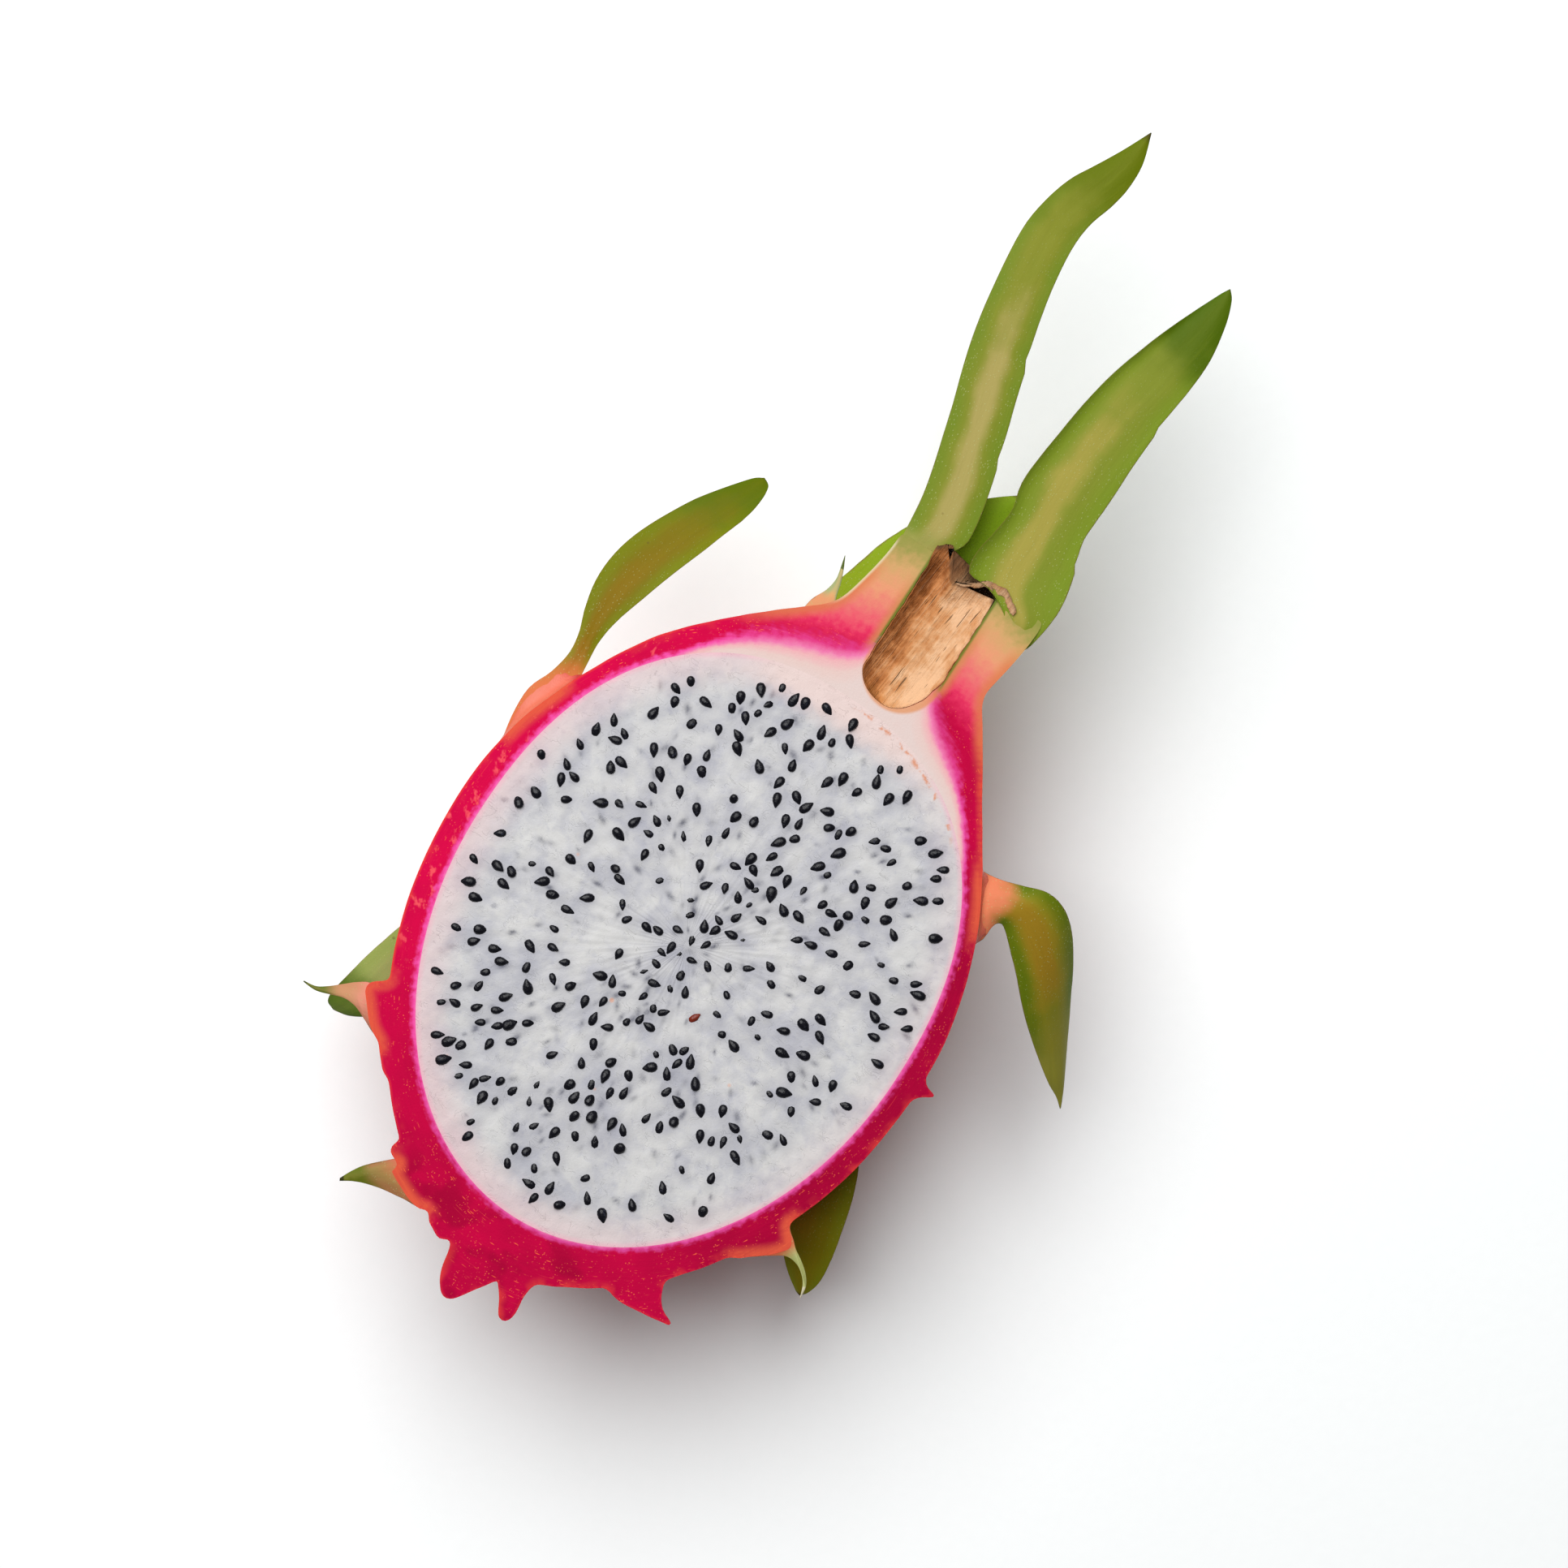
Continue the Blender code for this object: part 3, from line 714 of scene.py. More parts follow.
@dataclass
class LeafTint:
    """Colours of a bract from its margin to its rib and from its root to its tip."""

    blade: tuple
    margin: tuple
    rib: tuple
    root: tuple
    tip: tuple
    rib_width: float = 0.45
    rib_end: float = 0.6
    root_end: float = 0.12
    root_blend: float = 0.12
    tip_start: float = 0.94
    gleam: float = 0.46
    shade_start: float = 1.4  # from here to the tip the blade deepens
    shade: tuple = (0.08, 0.13, 0.005)
    rib_side: float = 0.0  # how far the rib's colour lies to the right of the middle
    neck: bool = False  # the root carries on the neck's colours


def leaf_finish(name, tint):
    """Waxy leaf: a pale rib, a brown hairline along the margin and fine pale stipple."""
    finish = Finish(name, Specular_IOR_Level=0.07)
    x, y, z = finish.place()
    across = finish.mark("across")
    along = finish.mark("along")
    side = finish.mark("face")
    run = finish.mark("run")  # millimetres along the blade
    reach = finish.mark("reach")  # millimetres across it
    edge = abs(across)
    cloud = finish.grain(x, y, z, 0.16, 3.0)
    fine = finish.grain(x, y, z, 2.6, 3.0, 0.65)
    vein = finish.grain(reach * 1.6, run * 0.08, 0, 1.0, 3.0, 0.55)
    finish.colour = finish.blend((edge.rise(0.30, 0.95) + (cloud - 0.5)).held(), tint.blade, tint.margin)
    off = abs(across - tint.rib_side)
    rib = (off + (cloud - 0.5) * 0.4 + (vein - 0.5) * 0.15).rise(tint.rib_width * 1.35, tint.rib_width * 0.35)
    rib = rib * (along + (cloud - 0.5) * 0.2).rise(tint.rib_end, tint.rib_end * 0.70)
    finish.lay(rib, tint.rib)
    deep = (along + (cloud - 0.5) * 0.2).rise(tint.shade_start, tint.shade_start + 0.2)
    finish.lay(deep * (0.80 + edge * 0.2), tint.shade)
    finish.lay((vein - 0.5).rise(0.02, 0.22) * 0.12, tinted(tint.blade, 1.3))
    finish.lay((0.5 - vein).rise(0.02, 0.22) * 0.14, tinted(tint.blade, 0.7))
    root = (along + (vein - 0.5) * 0.03 + (cloud - 0.5) * 0.16).rise(
        tint.root_end + tint.root_blend, tint.root_end)
    finish.lay(root, tint.root)
    speck = finish.spots(x, y * 0.6, z, 3.0, 0.62, 0.28)
    finish.lay(speck * 0.50 * along.rise(0.95, 0.3), (0.44, 0.48, 0.20))
    blot = finish.spots(x * 0.8, y * 0.8, z * 0.8, 0.35, 0.10, 0.09)
    finish.lay(blot * 0.45, (0.10, 0.06, 0.012))
    under = side.rise(0.1, -0.1)
    finish.lay(under * 0.25, tinted(tint.blade, 1.25))
    line = (edge + (finish.grain(x, y, z, 0.9, 3.0) - 0.5) * 0.05).rise(0.972, 0.996)
    finish.lay(line * 0.6, (0.16, 0.095, 0.03))
    tip = (along + (cloud - 0.5) * 0.03).rise(tint.tip_start, tint.tip_start + 0.02)
    finish.lay(tip * 0.9, tint.tip)
    if tint.neck:
        _, ladder = neck_colour(finish, x, y, finish.grain(x, y, 0, 0.9, 3.0) - 0.5)
        finish.lay((y + (cloud - 0.5) * 2.0).rise(75.0, 71.0), ladder)
    height = vein * 0.35 + fine * 0.35 + speck * 0.2
    return finish.done(tint.gleam + fine * 0.16, height, 0.10)


def table_finish():
    finish = Finish("pale table", Specular_IOR_Level=0.05)
    x, y, _ = finish.place()
    grain = finish.grain(x, y, 0, 0.5, 3.0)
    finish.colour = finish.blend(grain, (0.88, 0.90, 0.90), (0.90, 0.92, 0.92))
    return finish.done(0.9, grain, 0.03)


# ---------------------------------------------------------------------------------------------
# Bracts


@dataclass
class Bract:
    """A leaf-like scale given by its two margins.

    Each row is a pair of points from the root to the tip: x, y and depth below the cut face of the
    left margin, then of the right one. Left and right are as seen when looking towards the tip."""

    name: str
    thickness: float
    rows: tuple
    cup: float = 0.1
    blunt: float = 1.0  # the share of the way along where a rounded tip starts
    trimmed: bool = False  # the knife cut it level with the face
    curl: tuple = (0.0, 0.0)  # how far the right and left margins roll up
    nicks: tuple = ()  # breaks in a margin: side, share along, depth, reach
    wave: float = 0.02
    collar: tuple = ()  # the rind's swelling at its foot: share along, width factor, thickness
    keel: float = 0.2


def upright_rows(*rows):
    """Rows whose two points share their y and depth: y, left x, right x, depth."""
    return tuple((left, y, depth, right, y, depth) for y, left, right, depth in rows)


CROWN_BRACTS = (
    Bract("crown_bract_left", 1.6, upright_rows(
        (66.5, -6.0, -1.6, 1.1), (69.5, -6.4, -1.1, 1.0), (72.2, -6.7, 0.6, 0.9), (75, -7.0, 2.3, 0.8),
        (78, -7.4, 2.25, 0.8), (82, -8.3, 1.5, 0.8), (87, -9.7, 0.2, 0.8), (92, -11.1, -1.3, 0.8),
        (98, -13.0, -3.2, 0.7), (104, -14.6, -4.9, 0.6), (110, -15.7, -6.7, 0.6), (116, -16.5, -8.0, 0.8),
        (122, -16.9, -8.7, 1.2), (127, -16.2, -8.4, 1.8), (131.5, -14.8, -7.1, 2.4),
        (135.3, -12.8, -6.5, 3.0), (139.5, -10.6, -6.7, 3.6), (144.4, -8.4, -8.2, 4.4)),
        0.10, nicks=((1, 0.36, 0.55, 0.03), (1, 0.53, 0.45, 0.03)), wave=0.012),
    Bract("crown_bract_right", 1.7, (
        (15.0, 65.0, 2.6, 17.6, 64.6, 2.6), (14.8, 67.6, 1.2, 19.0, 66.8, 1.4),
        (12.4, 69.9, 0.5, 19.6, 69.4, 0.6), (8.4, 71.4, 0.3, 19.9, 71.9, 0.5),
        (4.9, 71.6, 0.3, 20.0, 74.6, 0.5), (4.2, 74.8, 0.4, 19.5, 77.9, 0.6),
        (4.9, 79.5, 0.5, 18.6, 81.5, 0.6), (5.2, 83.5, 0.5, 17.3, 85.3, 0.6),
        (4.2, 87.5, 0.3, 17.3, 88.5, 0.6), (4.3, 92, 0.4, 17.4, 92, 0.6), (4.9, 98, 0.6, 17.4, 98, 0.8),
        (5.7, 104, 0.8, 17.6, 104, 1.0), (6.9, 109.7, 1.2, 18.0, 109.7, 1.2),
        (8.5, 115, 1.6, 18.5, 115, 1.6), (10.3, 120, 2.0, 18.5, 120, 2.0),
        (12.4, 125, 2.4, 17.6, 125.4, 2.4), (14.0, 128.6, 2.8, 16.4, 129.0, 2.8),
        (14.9, 130.6, 3.0, 15.3, 130.7, 3.0)),
        0.07, blunt=0.95, curl=(0.0, 0.22),
        nicks=((1, 0.34, 0.7, 0.03), (1, 0.66, 0.5, 0.03)), wave=0.012, keel=0.1),
    Bract("crown_bract_rear", 1.6, (
        (-8.0, 50, 12.0, 7.0, 50, 12.0), (-12.4, 54.5, 11.6, 9.0, 57, 11.6),
        (-11.2, 60, 11.2, 11.5, 63, 11.2), (-9.8, 65, 10.6, 13.0, 69, 10.6),
        (-8.2, 70, 10.0, 13.8, 74, 10.0), (-5.8, 75, 9.4, 13.8, 79, 9.4),
        (-2.4, 79.7, 8.8, 13.0, 83, 8.8), (1.0, 83.2, 8.4, 11.5, 85.5, 8.4), (4.2, 85.8, 8.0, 9.5, 87, 8.0),
        (6.4, 87.2, 7.8, 7.4, 87.5, 7.8)), 0.06),
)
SIDE_BRACTS = (
    Bract("upper_left_bract", 1.7, (
        (-41.2, 10.5, 1.6, -37.0, 10.5, 1.6), (-42.1, 15.5, 1.6, -36.6, 15.5, 1.6),
        (-42.2, 20.0, 1.9, -36.2, 20.0, 1.9), (-40.7, 23.8, 2.6, -36.3, 24.4, 2.6),
        (-40.0, 27.7, 3.8, -36.7, 28.0, 3.8),
        (-40.4, 31.2, 3.8, -37.0, 31.8, 3.8), (-41.7, 35, 4.2, -36.4, 36, 4.0),
        (-42.7, 40, 4.8, -34.8, 41.4, 4.4), (-42.3, 45.5, 5.8, -32.7, 47.8, 5.2),
        (-40.3, 51.4, 7.0, -30.5, 54, 6.2), (-37.4, 57.2, 8.2, -28.7, 59.3, 7.4),
        (-34.3, 61.9, 9.4, -28.0, 63.4, 8.8), (-31.3, 65.9, 10.4, -28.2, 66.2, 10.0),
        (-30.0, 67.2, 10.8, -29.2, 67.3, 10.8)),
        0.22, blunt=0.93, collar=(0.26, 1.05, 3.4), keel=0.35),
    Bract("right_bract", 1.7, (
        (26.0, 35.0, 3.0, 32.0, 22.0, 3.0), (30.8, 34.4, 2.4, 37.2, 24.4, 2.4),
        (34.6, 34.7, 1.8, 37.9, 28.0, 2.0), (38.6, 35.9, 1.4, 38.6, 29.0, 2.0),
        (42.4, 37.0, 1.6, 39.8, 28.6, 2.6), (46.2, 36.2, 3.2, 42.6, 26.2, 3.8),
        (49.4, 33.7, 5.8, 46.2, 22.9, 5.8), (52.3, 29.8, 9.0, 49.6, 19.6, 8.4),
        (55.0, 25.2, 12.4, 52.8, 16.9, 11.4), (57.7, 20.5, 15.6, 56.0, 14.5, 14.6),
        (60.4, 15.7, 18.4, 59.4, 12.2, 17.8), (62.2, 12.4, 20.4, 61.7, 11.0, 20.2),
        (63.4, 9.9, 22.0, 63.2, 9.8, 22.0)),
        -0.13, collar=(0.14, 1.05, 4.0)),
    Bract("lower_right_bract", 1.6, (
        (35.5, -8, 14, 28, -12, 14), (39.4, -12, 13.8, 32, -17, 14.2), (41.9, -16, 14.0, 33.6, -21, 14.8),
        (43.6, -20.5, 14.8, 34.8, -25, 15.8), (44.9, -25.5, 16.0, 36.4, -29, 17.0),
        (45.9, -30, 17.4, 38.4, -32.2, 18.4), (46.3, -33.4, 18.8, 41.0, -34.8, 19.6),
        (45.8, -35.9, 20.2, 43.3, -36.5, 20.4), (45.1, -37.1, 21.0, 44.5, -37.3, 21.0)),
        0.14, blunt=0.93, collar=(0.16, 1.2, 4.5)),
    Bract("left_rear_bract", 1.5, (
        (-29.0, -15, 16, -36.0, -13, 16), (-31, -20, 16.0, -37.6, -17, 15.8),
        (-32, -25, 16.4, -39.4, -22.5, 16.0), (-33, -30, 17.2, -41.0, -28, 16.8),
        (-34.2, -34.2, 18.4, -42.1, -32.8, 18.0), (-35.8, -37, 19.8, -42.9, -36.6, 19.6),
        (-38.4, -38.8, 21.0, -42.8, -38.6, 20.8), (-40.6, -39.5, 21.6, -42.0, -39.4, 21.6)),
        0.12, blunt=0.9, collar=(0.16, 1.2, 4.0)),
)
def cut_bract(name, thickness, *rows):
    """A bract that the knife went through, its rows given without the depth."""
    return Bract(name, thickness, tuple((xl, yl, 0.1, xr, yr, 0.1) for xl, yl, xr, yr in rows),
                 0.0, trimmed=True)


CUT_BRACTS = (
    cut_bract(
        "shoulder_bract", 3.0, (-13.4, 52.5, -8.0, 52.5), (-13.0, 55.2, -9.1, 55.2),
        (-11.9, 57.6, -10.0, 57.6), (-11.55, 59.8, -10.6, 59.8), (-11.95, 61.8, -11.4, 61.8),
        (-12.4, 63.6, -12.3, 63.6)),
    cut_bract(
        "lower_right_cut_bract", 3.4, (35.0, -24.5, 30.0, -36.0), (36.9, -27.8, 33.6, -35.3),
        (38.4, -29.1, 36.4, -33.4), (39.6, -30.2, 38.8, -31.9),
        (41.2, -31.2, 40.8, -32.0), (42.8, -32.5, 42.4, -33.0),
        (43.9, -34.1, 43.4, -34.3), (44.2, -36.1, 44.1, -36.1)),
    cut_bract(
        "left_cut_bract", 4.0, (-28, -38, -34, -28), (-32.4, -37.9, -36.8, -30.9),
        (-35.6, -36.6, -38.4, -31.6), (-37.8, -35.7, -39.8, -32.6),
        (-40.0, -35.6, -41.4, -34.0), (-42.0, -36.3, -42.9, -35.3),
        (-44.3, -37.0, -44.6, -36.4), (-46.6, -36.9, -46.6, -36.7)),
    cut_bract(
        "lower_left_bract", 3.4, (-8.0, -51.5, -16.5, -49.0), (-12.0, -55.9, -19.6, -51.8),
        (-15.6, -56.6, -21.2, -53.3), (-19.0, -57.1, -22.5, -54.6),
        (-21.7, -57.8, -23.7, -56.0), (-23.6, -58.6, -24.6, -57.5),
        (-25.2, -59.6, -25.4, -59.2)),
)
# Bracts that lie along the back: station of the foot, turn, station of the tip, sideways bend
BACK_BRACTS = (
    (-0.615, 60, -0.239, 3.0),
    (-0.564, 122, -0.188, -2.0),
    (-0.068, 46, 0.336, 2.0),
    (0.0, 134, 0.392, -3.0),
    (0.364, 98, 0.727, 2.0),
    (0.476, 52, 0.811, -1.5),
    (0.378, 140, 0.685, 2.0),
    (-0.786, 92, -0.513, -2.0),
)
BACK_WIDTH, BACK_THICKNESS = 15.0, 1.5
BACK_WIDTHS = (1.0, 0.97, 0.92, 0.80, 0.60, 0.32, 0.03)
# Scales and knobs that the knife went through, grown as one with the rind: rows as for the bracts,
# without the depth, and how thick the scale is at its foot
RIND_SCALES = (
    (9.0, ((-6.6, -55, 3.6, -55), (-5.3, -59.3, 3.0, -59.8), (-5.0, -61.4, 1.8, -61.8),
           (-4.3, -63.6, 0.7, -63.6), (-3.1, -65.3, -0.4, -65.2), (-2.2, -66.0, -1.3, -65.9))),
    (8.0, ((3.6, -55.5, 9.0, -55), (3.9, -59.4, 8.4, -58.8), (5.0, -61.0, 8.6, -60.8),
           (5.8, -62.4, 8.7, -62.4), (6.5, -63.6, 8.2, -63.7), (7.1, -64.1, 7.7, -64.1))),
    (8.0, ((16.5, -50.5, 24.0, -40.0), (19.5, -51.6, 25.0, -44.6), (22.4, -51.6, 25.5, -46.4),
           (25.2, -51.2, 26.3, -48.2), (27.6, -50.8, 27.8, -49.6), (29.4, -50.3, 29.3, -50.0))),
    (6.0, ((-17.0, -52.5, -18.5, -47.0), (-19.6, -52.2, -20.0, -49.0), (-20.8, -51.7, -20.9, -49.8),
           (-21.3, -51.2, -21.3, -50.5))),
    (4.0, ((39.5, -3.6, 39.5, 4.0), (41.8, -1.2, 41.8, 2.6), (43.2, 0.2, 43.2, 1.7),
           (44.6, 1.1, 44.6, 1.4))),
    (6.0, ((-28, -39, -33.5, -28), (-31.8, -38.4, -37.0, -30.4), (-34.0, -37.2, -38.2, -31.6),
           (-35.6, -35.6, -38.0, -32.8))),
    (6.0, ((34.0, -24.0, 28.0, -37.5), (36.8, -27.8, 32.0, -36.6), (38.2, -29.3, 35.0, -34.4),
           (38.9, -30.4, 37.0, -32.6))),
    (6.0, ((-9.0, -52, -16.5, -49.5), (-11.8, -56.2, -18.8, -52.6), (-14.6, -56.2, -19.4, -54.0))),
    (5.0, ((-5.0, -54, -11.0, -52), (-6.8, -58.4, -10.6, -56.8), (-7.8, -58.7, -9.6, -57.6))),
    (5.0, ((-24.5, -39, -28.0, -37), (-27.6, -41.8, -31.2, -38.6), (-28.6, -42.0, -31.0, -39.4))),
)
BLADE_STEPS = 60
BLADE_SIDES = 52
COLLAR_SIDES = 20


def blade_shares():
    """Closer together towards the tip."""
    return [1 - (1 - i / (BLADE_STEPS - 1)) ** 1.3 for i in range(BLADE_STEPS)]


def margins(fruit, bract, share):
    """The left and the right margin's points."""
    xl, yl, dl, xr, yr, dr = row_reading(bract.rows, share)
    return [Vector((x * MM, y * MM, fruit.cut - depth * MM))
            for x, y, depth in ((xl, yl, dl), (xr, yr, dr))]


def blade_places(fruit, bract, shares):
    """Middle, half width vector, way out of the upper face and millimetres run, for each share."""
    pairs = [margins(fruit, bract, share) for share in shares]
    middles = [(left + right) / 2 for left, right in pairs]
    places, run = [], 0.0
    for i, (left, right) in enumerate(pairs):
        near, far = middles[max(i - 1, 0)], middles[min(i + 1, len(pairs) - 1)]
        run += (middles[i] - middles[i - 1]).length / MM if i else 0.0
        half = (right - left) / 2
        share = shares[i]
        if share > bract.blunt:
            half *= max(1 - ((share - bract.blunt) / (1 - bract.blunt)) ** 2, 0.0004) ** 0.5
        out = half.cross(far - near).normalized()
        places.append((middles[i], half, out, run))
    return places


def blade_layers(bm):
    return {name: bm.verts.layers.float.new(name) for name in ("across", "along", "face", "run", "reach")}


def nick_depth(nicks, side, share):
    return sum(
        depth * exp(-(share - place) / reach) for which, place, depth, reach in nicks
        if which * side > 0 and share >= place
    )


def blade_ring(bm, layers, bract, share, place, total, seed):
    """One cross-section of a blade: thick at the rib, thin and a little wavy at the margins."""
    middle, across, out, run = place
    half = max(across.length / MM, 0.02)
    sideways = across.normalized()
    thick = bract.thickness * min(1.0, 0.25 + half / (2.6 * bract.thickness)) / 2
    fade = smooth_step(0.0, 0.1, share) * smooth_step(1.0, 0.8, share)

    def spot(c, s):
        side = 1 if c > 0 else -1
        edge = abs(c)
        waver = bract.wave * ripple(run * 0.16, side * 5.0, seed) + 0.4 * bract.wave * ripple(
            run * 0.7, side * 9.0, seed)
        wide = half * (1 + waver) - nick_depth(bract.nicks, side, share) * min(half / 3, 1)
        roll = (bract.curl[0] if c > 0 else bract.curl[1]) * max(0.0, (edge - 0.6) / 0.4) ** 2 * fade
        wide *= 1 - 0.12 * roll * edge
        rise = bract.cup * half * (c * c - 0.4) + roll * half * 0.8
        rise += 0.10 * ripple(run * 0.12, c * 1.6, seed + 3) * (0.3 + edge) * min(half / 3, 1) * fade
        groove = -0.08 * bell(c, 0.0, 0.2) if s > 0 else -bract.keel * bell(c, 0.0, 0.22)
        body = thick * s * (0.34 + 0.66 * s * s)
        return middle + (sideways * (wide * c) + out * (body + rise + groove * abs(s) * fade)) * MM

    marks = {
        layers["across"]: lambda c, s: c, layers["along"]: lambda c, s: run / total,
        layers["face"]: lambda c, s: s, layers["run"]: lambda c, s: run,
        layers["reach"]: lambda c, s: c * half,
    }
    return add_ring(bm, BLADE_SIDES, spot, marks)


def blade_mesh(bm, fruit, bract, seed):
    layers = blade_layers(bm)
    shares = blade_shares()
    places = blade_places(fruit, bract, shares)
    total = places[-1][3]
    loft(bm, [blade_ring(bm, layers, bract, share, place, total, seed)
              for share, place in zip(shares, places)])
    if bract.trimmed:
        trim(bm, fruit.cut - 0.04 * MM)


def back_bract(index):
    return Bract(f"back_bract_{index}", BACK_THICKNESS, (), 0.0, wave=0.04, keel=0.35)


def back_bract_line(fruit, place, share):
    foot, turn, tip, bend = place
    y = fruit.station_y(foot) * (1 - share) + fruit.station_y(tip) * share
    return y, turn + bend * sin(pi * share)


def back_blade_mesh(bm, fruit, place, bract, seed):
    layers = blade_layers(bm)
    length = abs(fruit.station_y(place[2]) - fruit.station_y(place[0])) / MM
    rings = []
    for share in blade_shares():
        y, turn = back_bract_line(fruit, place, share)
        out, around = fruit.skin_normal(y, turn), fruit.skin_around(y, turn)
        half = BACK_WIDTH * MM * max(reading(BACK_WIDTHS, share), 0.03) / 2
        lift = (3.2 * share**1.3 + 0.3) * MM
        bract.cup = -half / (2 * fruit.half_width(y)) * (1 - 0.5 * share)
        centre = fruit.skin_point(y, turn) + out * (lift + 0.4 * bract.cup * half)
        section = (centre, around * half, out, share * length)
        rings.append(blade_ring(bm, layers, bract, share, section, length, seed))
    loft(bm, rings)


def collar_mesh(bm, fruit, bract):
    """The swelling of the rind that a bract grows out of."""
    reach, wider, thick = bract.collar
    count = 10
    places = blade_places(fruit, bract, [reach * i / (count - 1) for i in range(count)])
    rings = []
    for i, (middle, across, out, _) in enumerate(places):
        flare = (1 - i / (count - 1)) ** 1.6
        wide = across * (1 + (wider - 1) * flare)
        high = (bract.thickness * 0.55 + (thick - bract.thickness) * flare) * MM
        rings.append(add_ring(bm, COLLAR_SIDES, lambda c, s, o=middle, a=wide, n=out, t=high: (
            o + a * c + n * (t * s / 2))))
    loft(bm, rings)


def back_collar_mesh(bm, fruit, place):
    """The long low swelling behind a bract on the back, running towards the stem end."""
    rings = []
    count = 14
    for i in range(count):
        share = i / (count - 1)
        at = -0.55 + 0.80 * share
        y, turn = back_bract_line(fruit, place, at)
        y = max(y, -fruit.stem * 0.985)
        out, around = fruit.skin_normal(y, turn), fruit.skin_around(y, turn)
        half = BACK_WIDTH * 0.54 * MM * (0.25 + 0.75 * smooth_step(0.0, 0.72, share))
        high = (0.5 + 1.5 * smooth_step(0.0, 0.75, share)) * MM
        sag = half * half / (2 * fruit.half_width(y))
        foot = fruit.skin_point(y, turn)
        rings.append(add_ring(
            bm, COLLAR_SIDES, lambda c, s, o=foot, a=around, n=out, h=half, t=high, d=sag: (
                o + a * (h * c) + n * (t * s - d * c * c))))
    loft(bm, rings)


def scale_mesh(bm, fruit, thickness, rows):
    """A thick scale of the rind, upright through the cut face and thinner towards its tip."""
    count = 18
    rings = []
    for i in range(count):
        share = i / (count - 1)
        xl, yl, xr, yr = (part * MM for part in row_reading(rows, share))
        middle = Vector(((xl + xr) / 2, (yl + yr) / 2, fruit.cut))
        across = Vector(((xr - xl) / 2, (yr - yl) / 2, 0))
        across = across.normalized() * max(across.length, 0.35 * MM)
        drop = thickness * (1 - 0.7 * share) * MM
        rings.append(add_ring(bm, COLLAR_SIDES, lambda c, s, o=middle, a=across, d=drop: (
            o + a * c + Vector((0, 0, d * s)))))
    loft(bm, rings)


# ---------------------------------------------------------------------------------------------
# Rind, flesh and flower tube


def body_solid(bm, fruit):
    """The whole fruit's body before it is cut."""
    lower, upper = 34, 46
    lengthwise = [-fruit.stem * cos(0.5 * pi * (i + 0.3) / lower) for i in range(lower)]
    lengthwise += [fruit.crown * i / (upper - 1) for i in range(upper)]

    def ring_at(y):
        radius, middle = fruit.half_width(y), fruit.centre_x(y)

        def spot(c, s):
            swell = 1 + 0.008 * ripple(c * 1.4, y * 30, s * 1.4)
            return Vector((middle + radius * swell * c, y, fruit.cut + radius * fruit.depth * swell * s))

        return add_ring(bm, 96, spot)

    loft(bm, [ring_at(y) for y in lengthwise])


def flesh_bowl(bm, fruit, sides, steps):
    """The flesh's underside as a bowl, open at the cut face. Returns the rim's edges."""
    rings = []
    for i in range(steps + 1):
        sink = 0.5 * pi * i / (steps + 0.2)
        size, drop = cos(sink), sin(sink) * fruit.flesh_depth

        def spot(c, s, size=size, drop=drop):
            x, y = fruit.flesh_rim(atan2(s, c))
            return Vector((x * size, y * size, fruit.cut - drop))

        rings.append(add_ring(bm, sides, spot))
    for near, far in zip(rings, rings[1:]):
        bmesh.ops.bridge_loops(bm, edges=near + far)
    bmesh.ops.contextual_create(bm, geom=rings[-1])
    return rings[0]


def flesh_room(bm, fruit):
    """The inside of the rind, where the flesh sits."""
    flesh_bowl(bm, fruit, FLESH_SIDES, 30)
    bmesh.ops.recalc_face_normals(bm, faces=bm.faces)


def tube_swell(fruit, run, c):
    """How full the flower tube is, run millimetres along it: blunt on the left, tapered on the right."""
    length = fruit.tube / MM * (1.15 + 0.42 * c)
    dome = max(0.0, 1 - (1 - min(max(run, 0.0) / length, 1.0)) ** 2) ** 0.5
    wander = 0.050 * ripple(run * 0.32, c * 1.2, 8.0) + 0.022 * ripple(run * 1.1, c * 1.2, 3.0)
    return max(dome, 0.02) * (1 + wander * smooth_step(1.0, 4.0, run) * smooth_step(23.0, 19.0, run))


def tube_solid(bm, fruit, radius, overrun):
    """The round flower tube, domed at its inner end."""
    inner = fruit.tube_foot + (fruit.tube - radius)
    steps = 44
    rings = []
    for i in range(steps + 1):
        run = (fruit.crown - inner) / MM * ((i + 0.2) / (steps + 0.2)) ** 1.5
        rings.append((inner + run * MM, run))
    rings.append((fruit.crown + overrun, rings[-1][1]))
    loft(bm, [
        add_ring(bm, 72, lambda c, s, y=y, run=run: Vector((
            fruit.tube_x + radius * tube_swell(fruit, run, c) * c, y,
            fruit.cut + radius * tube_swell(fruit, run, c) * s)))
        for y, run in rings
    ])


FLESH_SIDES = 480
FLESH_RINGS = 118


def seed_crowding(x, y):
    """How likely a seed is here: most of all along the middle, and in a few crowds."""
    axis = bell(x - 1.0 - 0.05 * y, 0.0, 5.5) * bell(y, -2.0, 17.0)
    crowds = (
        (-3, -14, 4, 1.0), (2, 8, 5, 1.0), (-17, -26, 6, 0.8), (2, -27, 5, 0.8), (12, -20, 4, 0.6),
        (-4, 34, 9, 0.5), (16, 22, 7, 0.5), (-24, -4, 6, 0.5), (-30, 12, 5, 0.4), (28, -8, 5, 0.3),
        (-2, -40, 7, 0.7), (22, 30, 5, 0.5), (-14, 18, 7, 0.3),
    )
    return 0.27 + 1.25 * axis + sum(weight * bell(hypot(x - cx, y - cy), 0, size)
                                   for cx, cy, size, weight in crowds)


